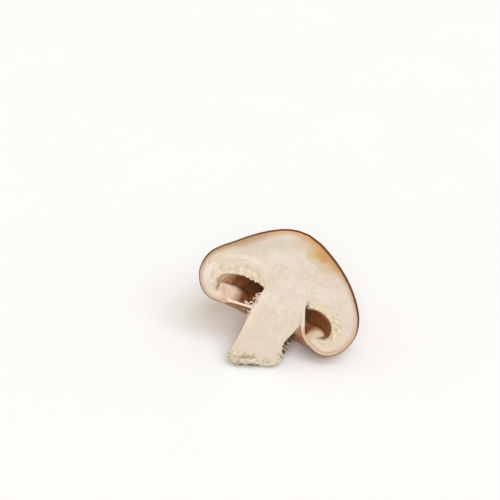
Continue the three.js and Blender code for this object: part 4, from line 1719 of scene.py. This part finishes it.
@dataclass
class Tubes:
    """Tapered tubes with a flattened section, gathered into one mesh."""

    bench: Bench
    seed: int
    sides: int = 6
    curl_steps: int = 9
    points: list = field(default_factory=list)
    faces: list = field(default_factory=list)
    draw: random.Random = field(init=False)

    def __post_init__(self) -> None:
        """Starts the seeded draws."""
        self.draw = random.Random(self.seed)

    def tube(self, centres: Array, radius: float, squash: float = 0.7, tip: float = 0.35) -> None:
        """Adds a tube along a line of centres.

        Args:
            centres: the line's points.
            radius: its thickness at the start.
            squash: its thinness from front to back.
            tip: the end's thickness as a share of the start's.
        """
        first, steps = len(self.points), len(centres) - 1
        runs = np.gradient(centres, axis=0)
        for step, (centre, run) in enumerate(zip(centres, runs)):
            side = np.cross(run, [0, 1, 0])
            side /= max(np.linalg.norm(side), 1e-6)
            other = np.cross(run, side)
            other /= max(np.linalg.norm(other), 1e-6)
            thick = radius * (1 - (1 - tip) * step / steps) * self.draw.uniform(0.75, 1.25)
            for corner in range(self.sides):
                turn = corner / self.sides * 2 * math.pi
                spoke = side * math.cos(turn) + other * squash * math.sin(turn)
                self.points.append(centre + thick * spoke)
        for step in range(steps):
            for corner in range(self.sides):
                row = first + step * self.sides
                a, b = row + corner, row + (corner + 1) % self.sides
                self.faces.append((a, b, b + self.sides, a + self.sides))
        self.faces.append(tuple(first + c for c in reversed(range(self.sides))))
        self.faces.append(tuple(first + steps * self.sides + c for c in range(self.sides)))

    def curl(self, start: tuple, run: tuple, radius: float, curl: float) -> None:
        """Adds a curly thread.

        Args:
            start: where it starts.
            run: how far it goes from there.
            radius: its thickness at the start.
            curl: how far it swings aside at its end.
        """
        start, run = np.array(start, float), np.array(run, float)
        phase, turns = self.draw.uniform(0, FULL_TURN), self.draw.uniform(0.6, 1.4)
        side = np.cross(run, [0.3, 1, 0.2])
        side /= np.linalg.norm(side)
        other = np.cross(run, side)
        other /= np.linalg.norm(other)
        share = np.linspace(0, 1, self.curl_steps + 1)[:, None]
        around = phase + turns * FULL_TURN * share
        swing = curl * share * (side * np.sin(around) + other * np.cos(around))
        self.tube(start + run * share + swing, radius)

    def fringe(self, fringe: Fringe) -> None:
        """Adds the threads of a fringe."""
        for _ in range(fringe.count):
            place = self.draw.uniform(*fringe.place)
            right, back, up = (self.draw.uniform(*span) for span in fringe.run)
            spans = (fringe.depth, fringe.radius, fringe.curl)
            depth, radius, curl = (self.draw.uniform(*span) for span in spans)
            run = (right * fringe.length(place), back, up)
            self.curl(fringe.start(place, depth), run, radius, curl)

    def strip(self, controls: tuple, radius: float) -> None:
        """Adds a strip along a curve through control points."""
        places = np.linspace(0, len(controls) - 1, 5 * len(controls))
        self.tube(curve(controls, places, False), radius, squash=0.6, tip=0.5)

    def make(self, name: str) -> Piece:
        """The mesh of all tubes so far."""
        return self.bench.mesh(name, np.array(self.points), self.faces)


@dataclass
class Threads:
    """What is left of the veil's threads, and the stem's torn edges."""

    bench: Bench
    seed: int = 11
    strip_radius: tuple = (0.19, 0.27)
    above_veil: Fringe = Fringe(
        16, (-2.8, 2.2), ((-1.2, -0.2), (-0.5, 0.0), (-1.1, 0.7)), (0.0, 0.4), (0.15, 0.24), (0.2, 0.5),
        across=-5.5,
    )
    veil_end: Fringe = Fringe(
        8, (-9.2, -6.2), ((-0.9, 0.9), (-0.4, 0.0), (0.2, 0.8)), (0.0, 0.4), (0.16, 0.24), (0.2, 0.5),
        level=-3.1,
    )
    under_veil: Fringe = Fringe(
        20, (-8.5, -4.2), ((-0.9, -0.2), (-0.4, 0.3), (-0.8, 0.4)), (0.0, 0.6), (0.1, 0.17), (0.1, 0.35),
        across=-5.8,
    )
    right_edge: Fringe = Fringe(
        30, (-14.6, -5.0), ((0.3, 1.1), (-0.3, 0.5), (-0.8, 0.6)), (0.0, 0.9), (0.1, 0.19), (0.15, 0.6),
        across=-0.2, on_edge=True, lengths=(2.2, 0.6),
    )

    def build(self, finish: Material) -> Piece:
        """All the threads as one piece."""
        tubes = Tubes(self.bench, self.seed)
        for line in STRIPS:
            tubes.strip(line, tubes.draw.uniform(*self.strip_radius))
        for fringe in (self.above_veil, self.veil_end, self.under_veil, self.right_edge):
            tubes.fringe(fringe)
        piece = tubes.make("torn_threads")
        self.bench.finish(piece, 60, finish)
        return piece


@dataclass(frozen=True)
class Heap:
    """A heap of crumbs: how many, the seed of the first, and the range of their sizes in millimetres."""

    count: int
    seed: int
    size: tuple


@dataclass
class Crumbs:
    """Crumbs of flesh on the foot, and of compost on the stem's right edge."""

    bench: Bench
    seed: int = 23
    all_round: Heap = Heap(230, 0, (0.16, 0.42))
    corner: Heap = Heap(54, 500, (0.34, 0.62))
    corner_tip: Heap = Heap(16, 600, (0.24, 0.4))
    ridges: Heap = Heap(18, 700, (0.16, 0.4))
    right_edge: Heap = Heap(110, 900, (0.14, 0.34))
    foot_front: Heap = Heap(34, 1100, (0.12, 0.24))
    fibres: Fringe = Fringe(
        64, (-10.8, -4.8), ((0.3, 2.4), (-0.2, 0.8), (-1.6, 0.5)), (0.1, 1.0), (0.11, 0.2), (0.3, 0.8),
        across=-0.15, on_edge=True,
    )

    def crumb(self, centre: tuple, size: float, seed: int, draw: random.Random) -> Piece:
        """One ragged crumb.

        Args:
            centre: its place in growth coordinates.
            size: its radius in millimetres.
            seed: moves its bumps.
            draw: the random numbers it takes.

        Returns:
            The crumb.
        """
        self.bench.clear()
        bpy.ops.mesh.primitive_ico_sphere_add(subdivisions=2, radius=1)
        crumb = bpy.context.active_object
        shape = self.bench.vertices(crumb)
        stretch = np.array([draw.uniform(0.7, 1.7), draw.uniform(0.6, 1.1), draw.uniform(0.5, 1.0)])
        shape = shape * (1 + 0.5 * rough(shape, 1.3, seed * 2.1))[:, None] * stretch * size
        self.bench.mould(crumb, shape + np.array(centre))
        return crumb

    def foot(self, finish: Material) -> Piece:
        """The foot's crumbs as one piece: all round it, and thicker under its left corner."""
        draw = random.Random(self.seed)
        right, left = (np.array(line, float) for line in OUTLINE)
        pieces = []
        for place in range(self.all_round.count):
            front = place % 3 == 0
            angle = draw.choice((0.0, math.pi)) if front else math.pi * draw.random()
            where = np.array([draw.uniform(FOOT_START + 0.6 * front, OUTLINE_END - 0.2)])
            share = (1 + math.cos(angle)) / 2
            radius, height = curve(left * (1 - share) + right * share, where, False)[0]
            size = draw.uniform(*self.all_round.size)
            centre = np.array([radius * math.cos(angle), radius * math.sin(angle), height])
            centre[1] = draw.uniform(0.0, 0.8) if front else max(centre[1], size)
            pieces.append(self.crumb(centre, size, self.all_round.seed + place, draw))
        for place in range(self.corner.count):
            across = draw.uniform(-4.9, 2.2)
            low = float(np.interp(across, *zip(*FOOT_CORNER)))
            high = low + 0.25 + 0.5 * (across < 0)
            centre = (across, draw.uniform(0.1, 1.8), draw.uniform(low + 0.3, high + 0.3))
            size = draw.uniform(*self.corner.size)
            pieces.append(self.crumb(centre, size, self.corner.seed + place, draw))
        for place in range(self.corner_tip.count):
            centre = (draw.uniform(-3.5, -1.6), draw.uniform(0.1, 1.2), draw.uniform(-22.7, -22.2))
            size = draw.uniform(*self.corner_tip.size)
            pieces.append(self.crumb(centre, size, self.corner_tip.seed + place, draw))
        for place, line in enumerate(FOOT_RIDGES):
            for step in range(self.ridges.count):
                along = np.array([draw.uniform(0, len(line) - 1)])
                spot = curve(line, along, False)[0]
                centre = (spot[0], draw.uniform(-0.3, 0.1), spot[1] + draw.uniform(-0.3, 0.3))
                size = draw.uniform(*self.ridges.size)
                pieces.append(self.crumb(centre, size, self.ridges.seed + place * 20 + step, draw))
        piece = self.bench.join("foot_crumbs", pieces)
        self.bench.finish(piece, 50, finish)
        return piece

    def debris(self, finish: Material) -> Piece:
        """Dark crumbs and fibres along the stem's right edge, and crumbs under the foot's front edge."""
        tubes = Tubes(self.bench, self.seed + 1)
        draw = tubes.draw
        tubes.fringe(self.fibres)
        pieces = [tubes.make("fibres")]
        for place in range(self.right_edge.count):
            height = draw.uniform(-12.6, -4.8)
            size = draw.uniform(*self.right_edge.size)
            centre = (stem_edge(height) + draw.uniform(-0.1, 0.7), draw.uniform(0.1, 1.4), height)
            pieces.append(self.crumb(centre, size, self.right_edge.seed + place, draw))
        for place in range(self.foot_front.count):
            across = draw.uniform(-2.6, 4.6)
            low = float(np.interp(across, *zip(*FOOT_FRONT)))
            centre = (across, draw.uniform(-0.25, 0.1), low + draw.uniform(0.0, 0.2))
            size = draw.uniform(*self.foot_front.size)
            pieces.append(self.crumb(centre, size, self.foot_front.seed + place, draw))
        piece = self.bench.join("stem_debris", pieces)
        self.bench.finish(piece, 50, finish)
        return piece


@dataclass
class Studio:
    """Floor, light and camera."""

    rest: Rest
    axis: tuple = (-15.46, 0.0, 13.45)
    right: tuple = (LEVEL[0], 0.0, LEVEL[1])
    up: tuple = (-LEVEL[1], 0.0, LEVEL[0])
    away: float = 463.0
    lens: float = 100.0

    def floor(self, finish: Material) -> None:
        """A wide floor."""
        Bench.clear()
        bpy.ops.mesh.primitive_grid_add(x_subdivisions=40, y_subdivisions=40, size=6)
        floor = bpy.context.active_object
        floor.name = "floor"
        Bench.cover(floor, finish)

    def light(self) -> None:
        """A white surround and a large soft key from above and in front."""
        # Each lamp's name, where it shines from, spread in degrees, power and colour.
        lamps = (
            ("key", (0.3, -0.5, 0.8), 44, 1.35, (0.945, 1.06, 1.2)),
            ("front", (-0.02, -0.52, 0.36), 26, 0.95, (0.985, 1.02, 1.06)),
        )
        world = bpy.data.worlds.new("surround")
        bpy.context.scene.world = world
        world.use_nodes = True
        surround = world.node_tree.nodes["Background"].inputs
        surround["Color"].default_value = (1.0, 0.84, 0.66, 1.0)
        surround["Strength"].default_value = 0.55
        for name, place, spread, power, colour in lamps:
            data = bpy.data.lights.new(name, "SUN")
            data.angle = math.radians(spread)
            data.energy = power
            data.color = colour
            lamp = bpy.data.objects.new(name, data)
            lamp.location = place
            lamp.rotation_euler = Vector(place).to_track_quat("Z", "Y").to_euler()
            bpy.context.scene.collection.objects.link(lamp)

    def camera(self) -> None:
        """A camera square on to the cut."""
        data = bpy.data.cameras.new("camera")
        data.lens = self.lens
        data.sensor_width = 36.0
        data.clip_start, data.clip_end = 0.01, 20.0
        camera = bpy.data.objects.new("camera", data)
        bpy.context.scene.collection.objects.link(camera)
        eye = np.array(self.axis) - np.array([0, self.away, 0])
        place = (self.rest.axes() @ eye + np.array(self.rest.place) - np.array([0, 0, self.rest.trim])) * MM
        turn = Matrix.Identity(4)
        for column, direction in enumerate((self.right, self.up, (0.0, -1.0, 0.0))):
            turn.col[column][:3] = self.rest.direction(direction)
        turn.col[3][:3] = place
        camera.matrix_world = turn
        bpy.context.scene.camera = camera
        bpy.context.scene.view_settings.view_transform = "Standard"


def main() -> None:
    """Builds the half in order, then its studio."""
    logging.basicConfig(level=logging.INFO, format="%(name)s: %(message)s")
    rest, sections = Rest(), Sections()
    bench = Bench(rest)
    studio = Studio(rest)
    studio.camera()
    studio.light()
    studio.floor(PaleFloor().material(rest))
    bark = Bark().material(rest)
    Flesh(bench, sections).build([CutFlesh().material(rest), bark, HollowLining().material(rest)])
    Skin(bench, sections).build(CapSkin().material(rest), SkinEdge().material(rest))
    gills = Gills(bench, sections)
    gills.build(GillFlesh().material(rest))
    ends = GillFlesh(name="gill_ends", light_to=1.5, brown_from=4.0).material(rest)
    gills.end("gill_end_left", True, ends)
    gills.end("gill_end_right", False, ends)
    Cleft(bench).build(CleftFlesh().material(rest))
    Threads(bench).build(ThreadFlesh().material(rest))
    crumbs = Crumbs(bench)
    crumbs.foot(ThreadFlesh(name="crumbs", light=Tint.RIBBON, dark=Tint.OLIVE).material(rest))
    dark = ThreadFlesh(name="debris", subsurface=0.0, light=Tint.DEBRIS, dark=Tint.DIRT)
    crumbs.debris(dark.material(rest))


if __name__ == "__main__":
    main()
